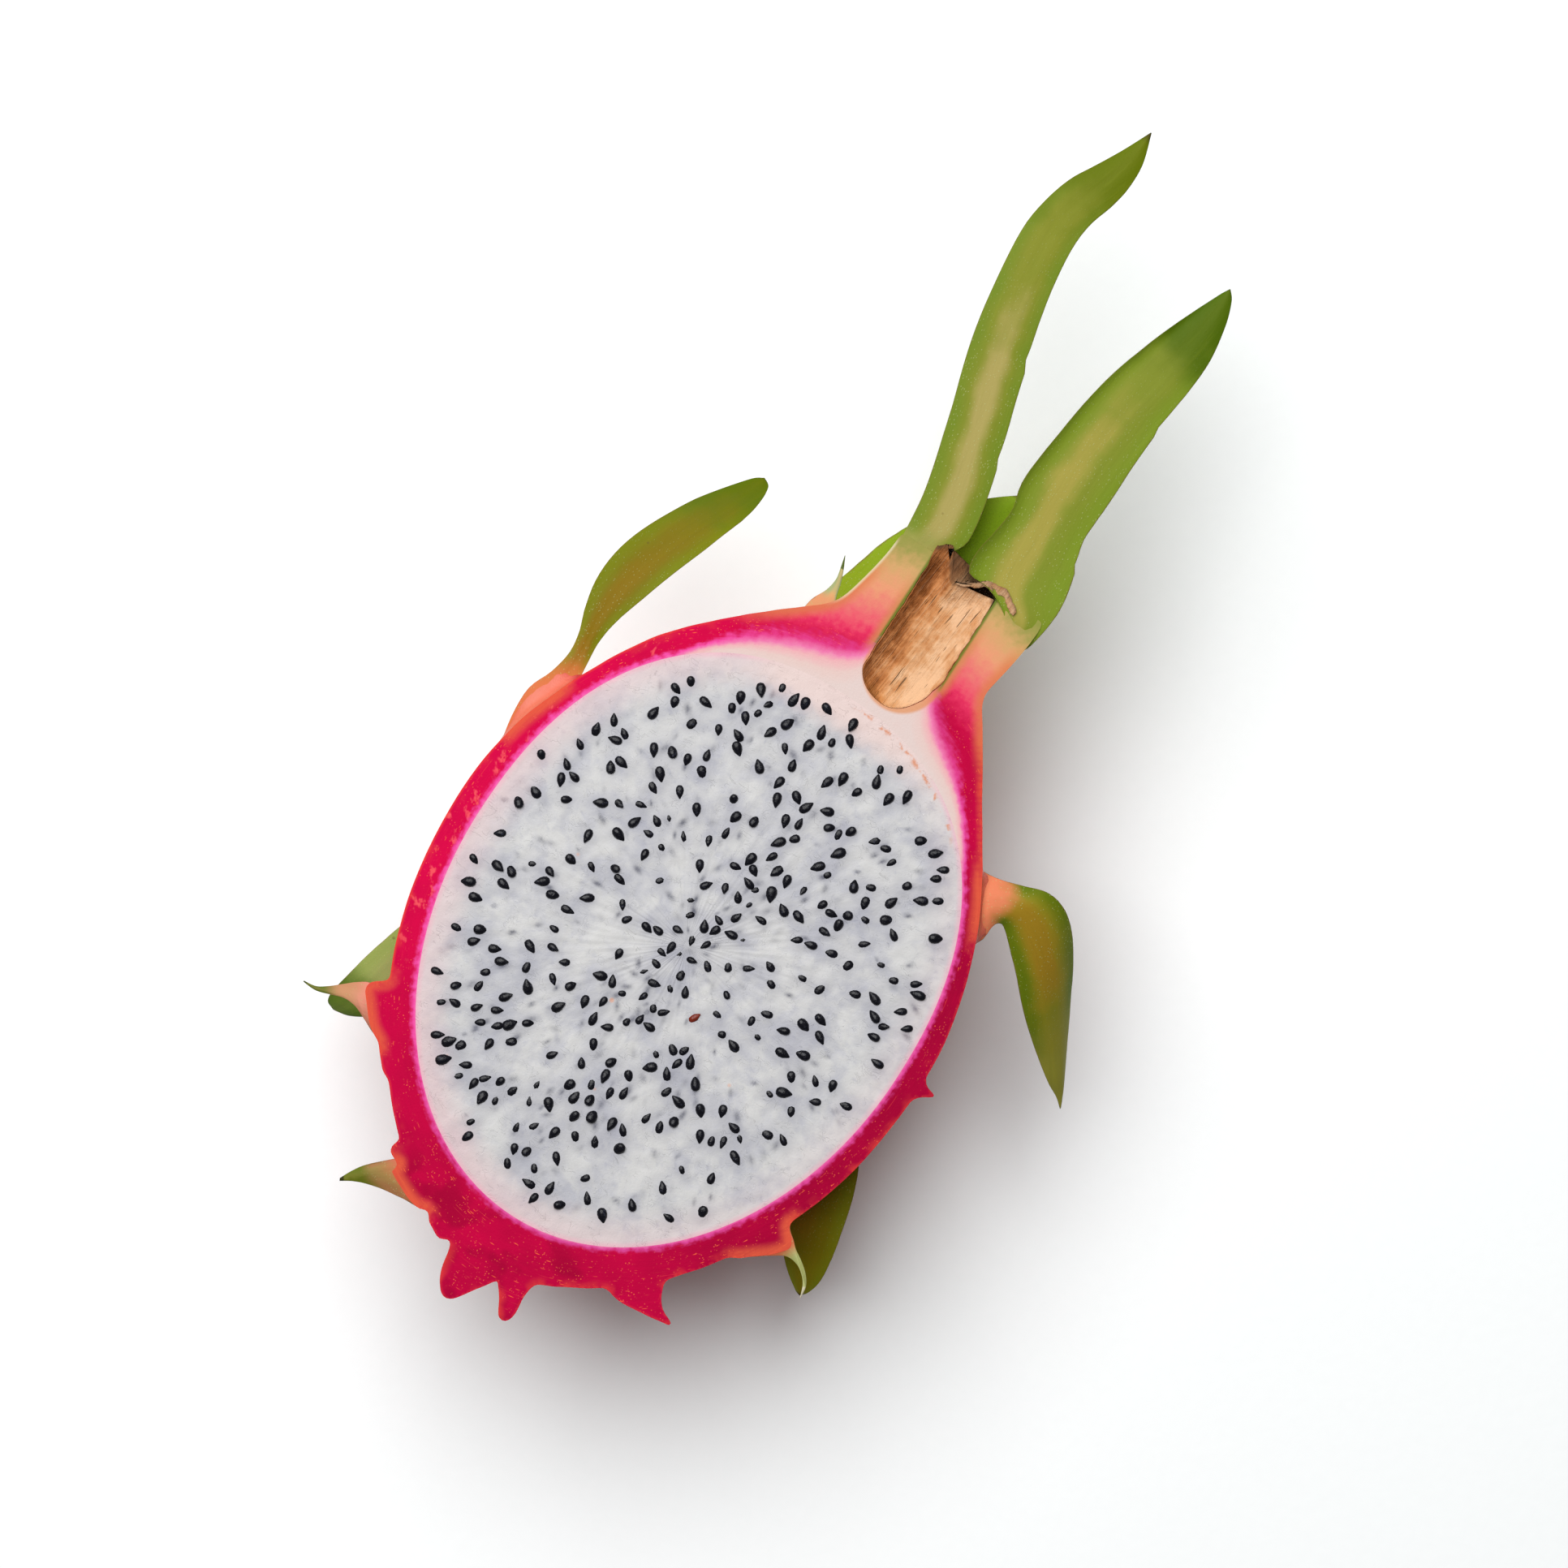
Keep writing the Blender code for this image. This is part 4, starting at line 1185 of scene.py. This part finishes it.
def scatter(fruit, rng, count, reach, spacing):
    """Places for seeds on the cut face, closer together where seeds crowd."""
    found = []
    tries = 0
    while len(found) < count and tries < count * 400:
        tries += 1
        x = rng.uniform(-fruit.flesh_side, fruit.flesh_side)
        y = rng.uniform(-fruit.flesh_stem, fruit.flesh_crown)
        if fruit.flesh_share(x, y) > reach or rng.random() > seed_crowding(x / MM, y / MM) / 1.5:
            continue
        dense = bell(x / MM - 1.0, 0.0, 7.0) * bell(y / MM, -2.0, 18.0)
        room = spacing * (0.74 - 0.16 * dense + 0.75 * rng.random() ** 2 * (1 - 0.6 * dense))
        if all(hypot(x - p[0], y - p[1]) > room * MM for p in found):
            found.append((x, y))
    return found


def seed_places(fruit, look):
    """Each seed as x, y, direction, size and how far it is sunk. The last list is under the surface."""
    rng = Random(look.pattern)
    shown = []
    for x, y in scatter(fruit, rng, look.seed_count, 0.935, 2.15):
        away = atan2(y, x * 1.15)
        spread = 0.95 if hypot(x, y) < 16 * MM else 0.5
        turn = away + rng.gauss(0, spread) + (pi if rng.random() < 0.62 else 0)
        size = rng.uniform(0.80, 1.08) * (0.88 if hypot(x, y) < 14 * MM else 1.0)
        shown.append((x, y, turn, size, rng.random() ** 1.6))
    sunk = []
    for x, y in scatter(fruit, rng, look.sunk_count, 0.95, 1.3):
        turn = atan2(y, x) + rng.gauss(0, 0.45)
        sunk.append((x, y, turn, rng.uniform(0.45, 1.0), rng.uniform(0.25, 0.95) ** 1.2))
    return shown, sunk


def flesh_height(x, y):
    """The cut flesh's unevenness in millimetres, for places in millimetres."""
    angle, reach = atan2(y, x), hypot(x, y)
    fibre = ripple(angle * 18.0, reach * 0.16, 4.0)
    return 0.10 * ripple(x * 0.16, y * 0.16) + 0.075 * ripple(x * 0.6, y * 0.6, 2.0) + 0.055 * fibre


def stain_at(places, tree, point, length, width, reach, share):
    """How dark the soft oval stains near a point are together. share is one stain's own darkness."""
    clear = 1.0
    for _, index, _ in tree.find_range(point, reach):
        x, y, turn, size, strength = places[index]
        dx, dy = point[0] - x, point[1] - y
        along = dx * cos(turn) + dy * sin(turn)
        across = dy * cos(turn) - dx * sin(turn)
        stain = exp(-((along / (length * size)) ** 2 + (across / (width * size)) ** 2))
        clear *= 1 - share * stain * strength
    return 1 - clear


# ---------------------------------------------------------------------------------------------
# Operators


class FruitStep:
    """What the operators share."""

    bl_options = {"REGISTER", "UNDO"}

    def fruit(self, context):
        return Fruit(context.scene.fruit_sizes)


class FRUIT_OT_rind(FruitStep, bpy.types.Operator):
    """Grow the half rind with its collars and scales, cut it level and hollow it for the flesh"""

    bl_idname = "fruit.rind"
    bl_label = "Rind"

    spare = 4 * MM  # how far the body first stands above the cut
    clearance = 0.05 * MM  # between the flower tube and its room
    longest = 1.3 * MM  # edges of the cut face are split until they are this short

    def execute(self, context):
        fruit = self.fruit(context)
        look = context.scene.skin_look
        bm = bmesh.new()
        body_solid(bm, fruit)
        for scale in RIND_SCALES:
            add_part(bm, scale_mesh, fruit, *scale)
        for bract in SIDE_BRACTS:
            add_part(bm, collar_mesh, fruit, bract)
        for place in BACK_BRACTS:
            add_part(bm, back_collar_mesh, fruit, place)
        trim(bm, fruit.cut + self.spare)
        bm = worked(bm, [
            ("REMESH", {"mode": "VOXEL", "voxel_size": fruit.grain}),
            ("SMOOTH", {"factor": 0.5, "iterations": 5}),
        ])
        self.roughen(bm)
        bm = self.bore(bm, fruit)
        trim(bm, fruit.cut, fill=False)
        trim(bm, 0.0, keep_below=False)
        outer = [edge for edge in bm.edges if edge.is_boundary]
        outline = [edge.verts[0].co.copy() for edge in outer]
        add_part(bm, flesh_room, fruit)
        self.close_cut(bm, fruit, outline)
        self.mark_feet(bm, fruit)
        finished(bm, "rind_skin_and_cut", [skin_finish(look), rind_cut_finish(fruit, look)],
                 ["rind"])
        return {"FINISHED"}

    def roughen(self, bm):
        """Shallow dents and lengthwise folds of the skin."""
        bm.normal_update()
        for vert in bm.verts:
            x, y, z = vert.co / MM
            dent = 0.28 * ripple(x * 0.07, y * 0.05, z * 0.07) + 0.12 * ripple(x * 0.35, y * 0.10, z * 0.35)
            vert.co += vert.normal * (dent * MM)

    def bore(self, bm, fruit):
        """Take the flower tube's room out of the neck."""
        tool = bmesh.new()
        tube_solid(tool, fruit, fruit.tube + self.clearance, self.spare)
        room = as_object(tool, "tube room")
        carved = worked(bm, [("BOOLEAN", {"operation": "DIFFERENCE", "object": room, "solver": "EXACT"})])
        bpy.data.objects.remove(room)
        return carved

    def close_cut(self, bm, fruit, outline):
        """Lay the cut face between the skin and the flesh, fine enough to carry its marks."""
        loose = [edge for edge in bm.edges if edge.is_boundary]
        laid = bmesh.ops.triangle_fill(bm, use_beauty=True, edges=loose, normal=(0, 0, 1))
        if not laid["geom"]:
            raise RuntimeError("the cut face wasn't laid")

        def on_cut(face):
            return all(abs(vert.co.z - fruit.cut) < 1e-6 for vert in face.verts)

        for _ in range(4):
            edges = {edge for face in bm.faces if on_cut(face) for edge in face.edges}
            inside = [edge for edge in edges if edge.calc_length() > self.longest and all(
                abs(face.normal.z) > 0.9 for face in edge.link_faces)]
            if not inside:
                break
            bmesh.ops.subdivide_edges(bm, edges=inside, cuts=1, use_grid_fill=False)
            made = bmesh.ops.triangulate(bm, faces=[face for face in bm.faces if on_cut(face)])
            edges = {edge for face in made["faces"] for edge in face.edges}
            bmesh.ops.beautify_fill(bm, faces=made["faces"], edges=list(edges))
        bm.normal_update()
        rim = bm.verts.layers.float.new("rim")
        tree = tree_of(outline)
        for face in bm.faces:
            face.smooth = True
            if on_cut(face):
                face.material_index = 1
                if face.normal.z < 0:
                    face.normal_flip()
                for vert in face.verts:
                    vert[rim] = tree.find(vert.co)[2] / MM
        for edge in bm.edges:
            if len({face.material_index for face in edge.link_faces}) == 2:
                edge.smooth = False

    def mark_feet(self, bm, fruit):
        """Mark how near each place of the skin is to the foot of a bract."""
        foot = bm.verts.layers.float.new("foot")
        points = []
        for bract in SIDE_BRACTS + CUT_BRACTS:
            places = blade_places(fruit, bract, [0.06, 0.10, 0.14, 0.18])
            points += [(middle, 3.0 + across.length / MM) for middle, across, _, _ in places]
        for place in BACK_BRACTS:
            for share in (-0.15, -0.05, 0.05, 0.15, 0.25):
                y, turn = back_bract_line(fruit, place, share)
                points.append((fruit.skin_point(y, turn), 8.5))
        tree = tree_of([point for point, _ in points])
        for vert in bm.verts:
            best = 0.0
            for _, index, gap in tree.find_range(vert.co, 14 * MM):
                best = max(best, exp(-((gap / MM / points[index][1]) ** 2)))
            vert[foot] = best


class FRUIT_OT_flesh(FruitStep, bpy.types.Operator):
    """Lay the white flesh with its uneven cut face and the stains round its seeds"""

    bl_idname = "fruit.flesh"
    bl_label = "Flesh"

    # Soft ovals round each seed: length, width, how far they are worked out, and darkness
    halo = (2.1 * MM, 1.8 * MM, 4.5 * MM, 0.50)
    sunk = (0.95 * MM, 0.50 * MM, 2.6 * MM, 1.0)
    swell = (1.3 * MM, 0.9 * MM, 3 * MM, 1.0)
    swell_height = 0.08

    def execute(self, context):
        fruit, look = self.fruit(context), context.scene.flesh_look
        shown, sunk = seed_places(fruit, look)
        bm = bmesh.new()
        rim = flesh_bowl(bm, fruit, FLESH_SIDES, 14)
        edges, reach = rim, 1.0
        for i in range(1, FLESH_RINGS):
            share = 1 - i / FLESH_RINGS
            grown = bmesh.ops.extrude_edge_only(bm, edges=edges)["geom"]
            edges = [item for item in grown if isinstance(item, bmesh.types.BMEdge)]
            for vert in (item for item in grown if isinstance(item, bmesh.types.BMVert)):
                x, y = vert.co.x * share / reach, vert.co.y * share / reach
                lift = flesh_height(x / MM, y / MM) * smooth_step(1.0, 0.965, share)
                vert.co = (x, y, fruit.cut + lift * MM)
            reach = share
        middle = {vert for edge in edges for vert in edge.verts}
        bmesh.ops.pointmerge(bm, verts=list(middle), merge_co=(0, 0, fruit.cut))
        bmesh.ops.recalc_face_normals(bm, faces=bm.faces)
        halo = bm.verts.layers.float.new("halo")
        stain = bm.verts.layers.float.new("sunk")
        round_seeds = [(x, y, turn, size, 1.0) for x, y, turn, size, _ in shown]
        seeds, deep = (tree_of([(*place[:2], 0.0) for place in places]) for places in (round_seeds, sunk))
        for edge in rim:
            edge.smooth = False
        for vert in bm.verts:
            if vert.co.z < fruit.cut - 1 * MM:
                continue
            flat = Vector((vert.co.x, vert.co.y, 0.0))
            vert[halo] = stain_at(round_seeds, seeds, flat, *self.halo)
            vert[stain] = stain_at(sunk, deep, flat, *self.sunk)
            # The flesh stands up a little round a seed
            vert.co.z += self.swell_height * stain_at(round_seeds, seeds, flat, *self.swell) * MM
        shade_smooth(bm)
        finished(bm, "white_flesh", [flesh_finish(fruit, look)], ["flesh"])
        return {"FINISHED"}


class FRUIT_OT_seeds(FruitStep, bpy.types.Operator):
    """Set the black seeds into the cut face"""

    bl_idname = "fruit.seeds"
    bl_label = "Seeds"

    red_place = (6 * MM, -7 * MM)  # the seed nearest to this is the reddish one

    def execute(self, context):
        fruit, look = self.fruit(context), context.scene.flesh_look
        shown, _ = seed_places(fruit, look)
        rng = Random(look.pattern + 1)
        bm = bmesh.new()
        red = min(range(len(shown)), key=lambda i: hypot(
            shown[i][0] - self.red_place[0], shown[i][1] - self.red_place[1]))
        for index, place in enumerate(shown):
            add_part(bm, self.add_seed, fruit, look, rng, place, index, index == red)
        shade_smooth(bm)
        finished(bm, "seeds", [seed_finish()])
        return {"FINISHED"}

    def add_seed(self, bm, fruit, look, rng, place, index, red):
        """One drop-shaped seed, lying partly in the flesh."""
        x, y, turn, size, sink = place
        unripe = bm.verts.layers.float.new("unripe")
        made = bmesh.ops.create_uvsphere(bm, u_segments=9, v_segments=7, radius=1.0)
        length = look.seed_length / 2 * size
        level = fruit.cut + (flesh_height(x / MM, y / MM) + 0.16 - 0.34 * sink) * MM
        fat = rng.uniform(0.92, 1.1)
        tilt = Matrix.Rotation(turn, 3, "Z") @ Matrix.Rotation(rng.gauss(0, 0.16), 3, "Y")
        for vert in made["verts"]:
            s, c, n = vert.co.z, vert.co.x, vert.co.y
            slim = 1 - 0.50 * smooth_step(-0.15, 1.0, s) + 0.26 * smooth_step(-0.3, -0.95, s)
            lump = 1 + 0.05 * ripple(s * 2 + index, c * 2, n * 2)
            vert.co = Vector((s * length * 1.04, c * length * 0.64 * fat * slim * lump,
                              n * length * 0.46 * slim * lump))
            vert.co = tilt @ vert.co + Vector((x, y, level - 0.10 * MM))
            vert[unripe] = 1.0 if red else 0.0


class FRUIT_OT_flower_tube(FruitStep, bpy.types.Operator):
    """Line the neck with what is left of the dried flower tube"""

    bl_idname = "fruit.flower_tube"
    bl_label = "Dried flower tube"

    steps, sides = 80, 120
    lip_steps, lip_sides = 60, 14

    # How far past the neck's rim the torn end reaches, from the left wall to the right
    torn_end = (1.2, 2.2, 2.2, -0.3, -2.1, -1.5, -0.7, -0.1, 0.6, 0.4, -1.2)
    # The papery lip over the right crown leaf's foot
    lip = ((4.4, 69.3), (6.0, 69.9), (7.6, 71.0), (8.6, 71.9), (10.4, 72.2), (12.2, 71.6),
           (13.6, 70.8), (14.4, 69.9))

    def execute(self, context):
        fruit = self.fruit(context)
        bm = bmesh.new()
        around = bm.verts.layers.float.new("around")
        torn = bm.verts.layers.float.new("torn")
        rings = []
        for i in range(self.steps + 1):
            share = i / self.steps
            rings.append(add_ring(
                bm, self.sides, lambda c, s, share=share: self.spot(fruit, c, s, share),
                {around: lambda c, s: 0.5 - 0.5 * c,
                 torn: lambda c, s, share=share: smooth_step(0.965, 0.995, share)}))
        loft(bm, rings)
        rings = []
        for i in range(self.lip_steps + 1):
            share = i / self.lip_steps
            x, y = row_reading(self.lip, share)
            ahead = row_reading(self.lip, min(share + 0.02, 1.0))
            back = row_reading(self.lip, max(share - 0.02, 0.0))
            angle = atan2(ahead[1] - back[1], ahead[0] - back[0]) + pi / 2
            wide = (0.42 + 0.30 * ripple(share * 9.0, 4.0) + 0.2 * ripple(share * 25.0, 6.0)) * (
                0.25 + 0.9 * smooth_step(0.0, 0.5, share)) * smooth_step(1.0, 0.9, share) + 0.06
            shift = 0.35 * ripple(share * 8.0, 9.0)
            high = 0.75 + 0.25 * ripple(share * 11.0, 2.0)
            rings.append(add_ring(
                bm, self.lip_sides, lambda c, s, x=x, y=y, a=angle, w=wide, h=high, g=shift: Vector((
                    (x + (w * c + g) * cos(a)) * MM, (y + (w * c + g) * sin(a)) * MM,
                    fruit.cut + (h - 0.35 + 0.24 * s + 0.35 * w * c) * MM)),
                {around: lambda c, s: 0.35, torn: lambda c, s: 0.45 + 0.4 * c}))
        loft(bm, rings)
        shade_smooth(bm)
        finished(bm, "dried_flower_tube", [tube_finish()], ["flower_remnant"])
        return {"FINISHED"}

    def spot(self, fruit, c, s, share):
        """A point of the half tube: its hollow face for a positive sine, its back for a negative one."""
        turn = atan2(abs(s), c)
        torn = reading(self.torn_end, 0.5 + 0.5 * c)
        torn += 0.35 * ripple(c * 5.0, 1.0) + 0.25 * ripple(c * 17.0, 2.0)
        start = fruit.tube_foot
        end = fruit.crown + torn * MM
        y = start + (end - start) * share**1.5
        run = (y - start) / MM
        size = fruit.tube * tube_swell(fruit, run, c)
        if s < 0:
            radius, floor = size + 0.02 * MM, 1.0
        else:
            fibres = 0.26 * ripple(c * 4.0, run * 0.07) + 0.16 * ripple(c * 11.0, run * 0.12, 3.0)
            fibres += 0.07 * ripple(c * 26.0, run * 0.2, 5.0)
            radius = max(size - (0.18 - fibres * sin(turn)) * MM, 0.05 * MM)
            floor = 0.30 + 0.12 * bell(c, -0.6, 0.35)
            floor *= 1 - 0.9 * smooth_step(0.86, 1.0, share)
        # Past the neck's rim the lining stands free and curls
        free = smooth_step(20.5, 24.5, run)
        lift = 0.55 * free + (0.10 * ripple(c * 8.0, run * 0.5) * free)
        return Vector((
            fruit.tube_x + radius * cos(turn) * (1 - 0.04 * free) - 0.7 * MM * free * (c < 0),
            y,
            fruit.cut - radius * sin(turn) * floor + (lift + 0.03) * MM,
        ))


class BractStep(FruitStep):
    """Makes a group of bracts with their tints."""

    def make(self, context, bracts, tints):
        fruit = self.fruit(context)
        for seed, bract in enumerate(bracts):
            bm = bmesh.new()
            blade_mesh(bm, fruit, bract, seed * 3.7 + len(bracts))
            shade_smooth(bm)
            tint = tints[bract.name]
            skin = leaf_finish(f"{bract.name} skin", tint)
            finished(bm, f"{bract.name}_blade", [skin], [bract.name])


class FRUIT_OT_crown_bracts(BractStep, bpy.types.Operator):
    """Grow the three leaves at the flower end"""

    bl_idname = "fruit.crown_bracts"
    bl_label = "Crown bracts"

    def execute(self, context):
        leaf = tuple(context.scene.skin_look.leaf)
        self.make(context, CROWN_BRACTS, {
            "crown_bract_left": LeafTint(
                (0.20, 0.215, 0.020), tinted(leaf, 0.75), (0.35, 0.29, 0.085), (0.30, 0.27, 0.07),
                (0.06, 0.045, 0.01), 0.42, 0.62, -0.5, 0.08, 0.975, 0.46, 0.68, (0.105, 0.14, 0.001),
                neck=True),
            # The right leaf's dark green root colour is painted shade: the shadow in the fold where its foot
            # lies over the neck's cut strip.
            "crown_bract_right": LeafTint(
                (0.185, 0.22, 0.020), tinted(leaf, 0.88), (0.32, 0.275, 0.05), (0.10, 0.16, 0.02),
                (0.06, 0.045, 0.01), 0.36, 0.70, 0.0, 0.07, 0.985, 0.46, 0.68, (0.06, 0.11, 0.001),
                rib_side=-0.12),
            "crown_bract_rear": LeafTint(
                (0.20, 0.32, 0.008), (0.22, 0.33, 0.012), (0.18, 0.29, 0.008), (0.26, 0.32, 0.02),
                (0.10, 0.06, 0.02), 0.3, 0.4, 0.10, 0.2, 0.97),
        })
        return {"FINISHED"}


class FRUIT_OT_side_bracts(BractStep, bpy.types.Operator):
    """Grow the whole leaves along the sides"""

    bl_idname = "fruit.side_bracts"
    bl_label = "Side bracts"

    def execute(self, context):
        self.make(context, SIDE_BRACTS, {
            "upper_left_bract": LeafTint(
                (0.165, 0.135, 0.0005), (0.155, 0.175, 0.001), (0.20, 0.125, 0.001), (0.60, 0.15, 0.05),
                (0.05, 0.04, 0.004), 0.45, 0.75, 0.17, 0.20, 0.985, 0.40, 0.72, (0.085, 0.125, 0.0005)),
            "right_bract": LeafTint(
                (0.23, 0.20, 0.012), (0.105, 0.15, 0.004), (0.29, 0.175, 0.012), (0.66, 0.19, 0.09),
                (0.12, 0.11, 0.02), 0.50, 0.62, 0.13, 0.09, 0.98, 0.42, 0.60, (0.24, 0.225, 0.028),
                rib_side=0.1),
            "lower_right_bract": LeafTint(
                (0.17, 0.14, 0.002), (0.16, 0.17, 0.004), (0.20, 0.13, 0.004), (0.30, 0.14, 0.03),
                (0.035, 0.02, 0.003), 0.4, 0.8, 0.06, 0.12, 0.975, 0.46, rib_side=0.35),
            "left_rear_bract": LeafTint(
                (0.27, 0.33, 0.085), (0.26, 0.33, 0.08), (0.29, 0.32, 0.10), (0.40, 0.26, 0.10),
                (0.08, 0.06, 0.01), 0.5, 0.8, 0.06, 0.10, 0.985, 0.46, 0.62, (0.075, 0.13, 0.01)),
        })
        return {"FINISHED"}


class FRUIT_OT_cut_bracts(BractStep, bpy.types.Operator):
    """Grow the bracts that the knife went through"""

    bl_idname = "fruit.cut_bracts"
    bl_label = "Cut bracts"

    def execute(self, context):
        self.make(context, CUT_BRACTS, {
            "shoulder_bract": LeafTint(
                (0.45, 0.36, 0.15), (0.30, 0.34, 0.15), (0.62, 0.33, 0.13), (0.62, 0.26, 0.12),
                (0.05, 0.09, 0.01), 0.6, 0.6, 0.30, 0.20, 0.80),
            "lower_right_cut_bract": LeafTint(
                (0.40, 0.42, 0.17), (0.36, 0.38, 0.13), (0.48, 0.28, 0.10), (0.56, 0.13, 0.06),
                (0.55, 0.50, 0.36), 0.6, 0.5, 0.36, 0.20, 0.86),
            "left_cut_bract": LeafTint(
                (0.50, 0.24, 0.12), (0.48, 0.22, 0.11), (0.64, 0.28, 0.18), (0.66, 0.22, 0.16),
                (0.05, 0.07, 0.01), 0.6, 0.6, 0.36, 0.20, 0.955, 0.46, 0.60, (0.09, 0.14, 0.012)),
            "lower_left_bract": LeafTint(
                (0.30, 0.20, 0.06), (0.34, 0.15, 0.06), (0.40, 0.20, 0.07), (0.58, 0.13, 0.08),
                (0.02, 0.02, 0.005), 0.6, 0.6, 0.26, 0.26, 0.95, 0.46, 0.58, (0.11, 0.14, 0.008)),
        })
        return {"FINISHED"}


class FRUIT_OT_back_bracts(FruitStep, bpy.types.Operator):
    """Grow the bracts that lie along the rounded back"""

    bl_idname = "fruit.back_bracts"
    bl_label = "Back bracts"

    def execute(self, context):
        fruit = self.fruit(context)
        tint = LeafTint(
            (0.20, 0.20, 0.02), (0.13, 0.17, 0.008), (0.34, 0.20, 0.05), (0.60, 0.14, 0.07),
            (0.08, 0.07, 0.015), 0.45, 0.6, 0.22, 0.34, 0.97)
        skin = leaf_finish("back bract skin", tint)
        for index, place in enumerate(BACK_BRACTS, 1):
            bract = back_bract(index)
            bm = bmesh.new()
            back_blade_mesh(bm, fruit, place, bract, index * 2.3)
            shade_smooth(bm)
            finished(bm, f"{bract.name}_blade", [skin], [bract.name])
        return {"FINISHED"}


class FRUIT_OT_stage(bpy.types.Operator):
    """Set the table, the soft light and the camera above the cut face"""

    bl_idname = "fruit.stage"
    bl_label = "Stage"

    lamp_place = Vector((-0.43, 0.30, 1.06))
    lamp_width = 1.2
    view_middle = (-0.00107, 0.02896)
    table_half = 6.0

    def execute(self, context):
        look = context.scene.stage_look
        cut = context.scene.fruit_sizes.cut_height
        bm = bmesh.new()
        bmesh.ops.create_grid(bm, x_segments=2, y_segments=2, size=self.table_half)
        table = as_object(bm, "table")
        table.data.materials.append(table_finish())
        self.add_light(look.key_power)
        sky = bpy.data.worlds.new("white surround")
        sky.use_nodes = True
        backdrop = sky.node_tree.nodes["Background"]
        backdrop.inputs["Color"].default_value = (1, 1, 1, 1)
        backdrop.inputs["Strength"].default_value = look.sky_strength
        context.scene.world = sky
        context.scene.view_settings.view_transform = "Standard"
        camera = bpy.data.cameras.new("camera")
        camera.lens = look.camera_lens
        camera.sensor_width = 36.0
        camera.clip_end = 20.0
        holder = linked("camera", camera)
        height = cut + look.view_width * look.camera_lens / camera.sensor_width
        holder.location = (*self.view_middle, height)
        holder.rotation_euler = (0, 0, look.view_turn)
        context.scene.camera = holder
        return {"FINISHED"}

    def add_light(self, power):
        """A broad soft lamp, turned to the fruit."""
        lamp = bpy.data.lights.new("key light", "AREA")
        lamp.shape = "DISK"
        lamp.size = self.lamp_width
        lamp.energy = power
        holder = linked("key light", lamp)
        holder.location = self.lamp_place
        holder.rotation_euler = (-self.lamp_place).to_track_quat("-Z", "Y").to_euler()


class FRUIT_PT_panel(bpy.types.Panel):
    """Lists the pieces of the fruit in the order they are made"""

    bl_label = "Halved Dragon Fruit"
    bl_idname = "FRUIT_PT_panel"
    bl_space_type = "VIEW_3D"
    bl_region_type = "UI"
    bl_category = "Fruit"

    def draw(self, context):
        for group_name in GROUPS:
            group = getattr(context.scene, group_name)
            box = self.layout.box()
            for name in group.__annotations__:
                box.prop(group, name)
        for step in STEPS:
            self.layout.operator(step.bl_idname)


STEPS = (
    FRUIT_OT_rind, FRUIT_OT_flesh, FRUIT_OT_seeds, FRUIT_OT_flower_tube, FRUIT_OT_crown_bracts,
    FRUIT_OT_side_bracts, FRUIT_OT_cut_bracts, FRUIT_OT_back_bracts, FRUIT_OT_stage,
)
GROUPS = {
    "fruit_sizes": FruitSizes, "flesh_look": FleshLook, "skin_look": SkinLook, "stage_look": StageLook,
}


def register():
    for kind in (*GROUPS.values(), *STEPS, FRUIT_PT_panel):
        bpy.utils.register_class(kind)
    for name, kind in GROUPS.items():
        setattr(bpy.types.Scene, name, PointerProperty(type=kind))


def unregister():
    for name in GROUPS:
        delattr(bpy.types.Scene, name)
    for kind in (FRUIT_PT_panel, *reversed(STEPS), *reversed(GROUPS.values())):
        bpy.utils.unregister_class(kind)


def main():
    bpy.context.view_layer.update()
    register()
    bpy.ops.fruit.rind()
    bpy.ops.fruit.flesh()
    bpy.ops.fruit.seeds()
    bpy.ops.fruit.flower_tube()
    bpy.ops.fruit.crown_bracts()
    bpy.ops.fruit.side_bracts()
    bpy.ops.fruit.cut_bracts()
    bpy.ops.fruit.back_bracts()
    bpy.ops.fruit.stage()


if __name__ == "__main__":
    main()
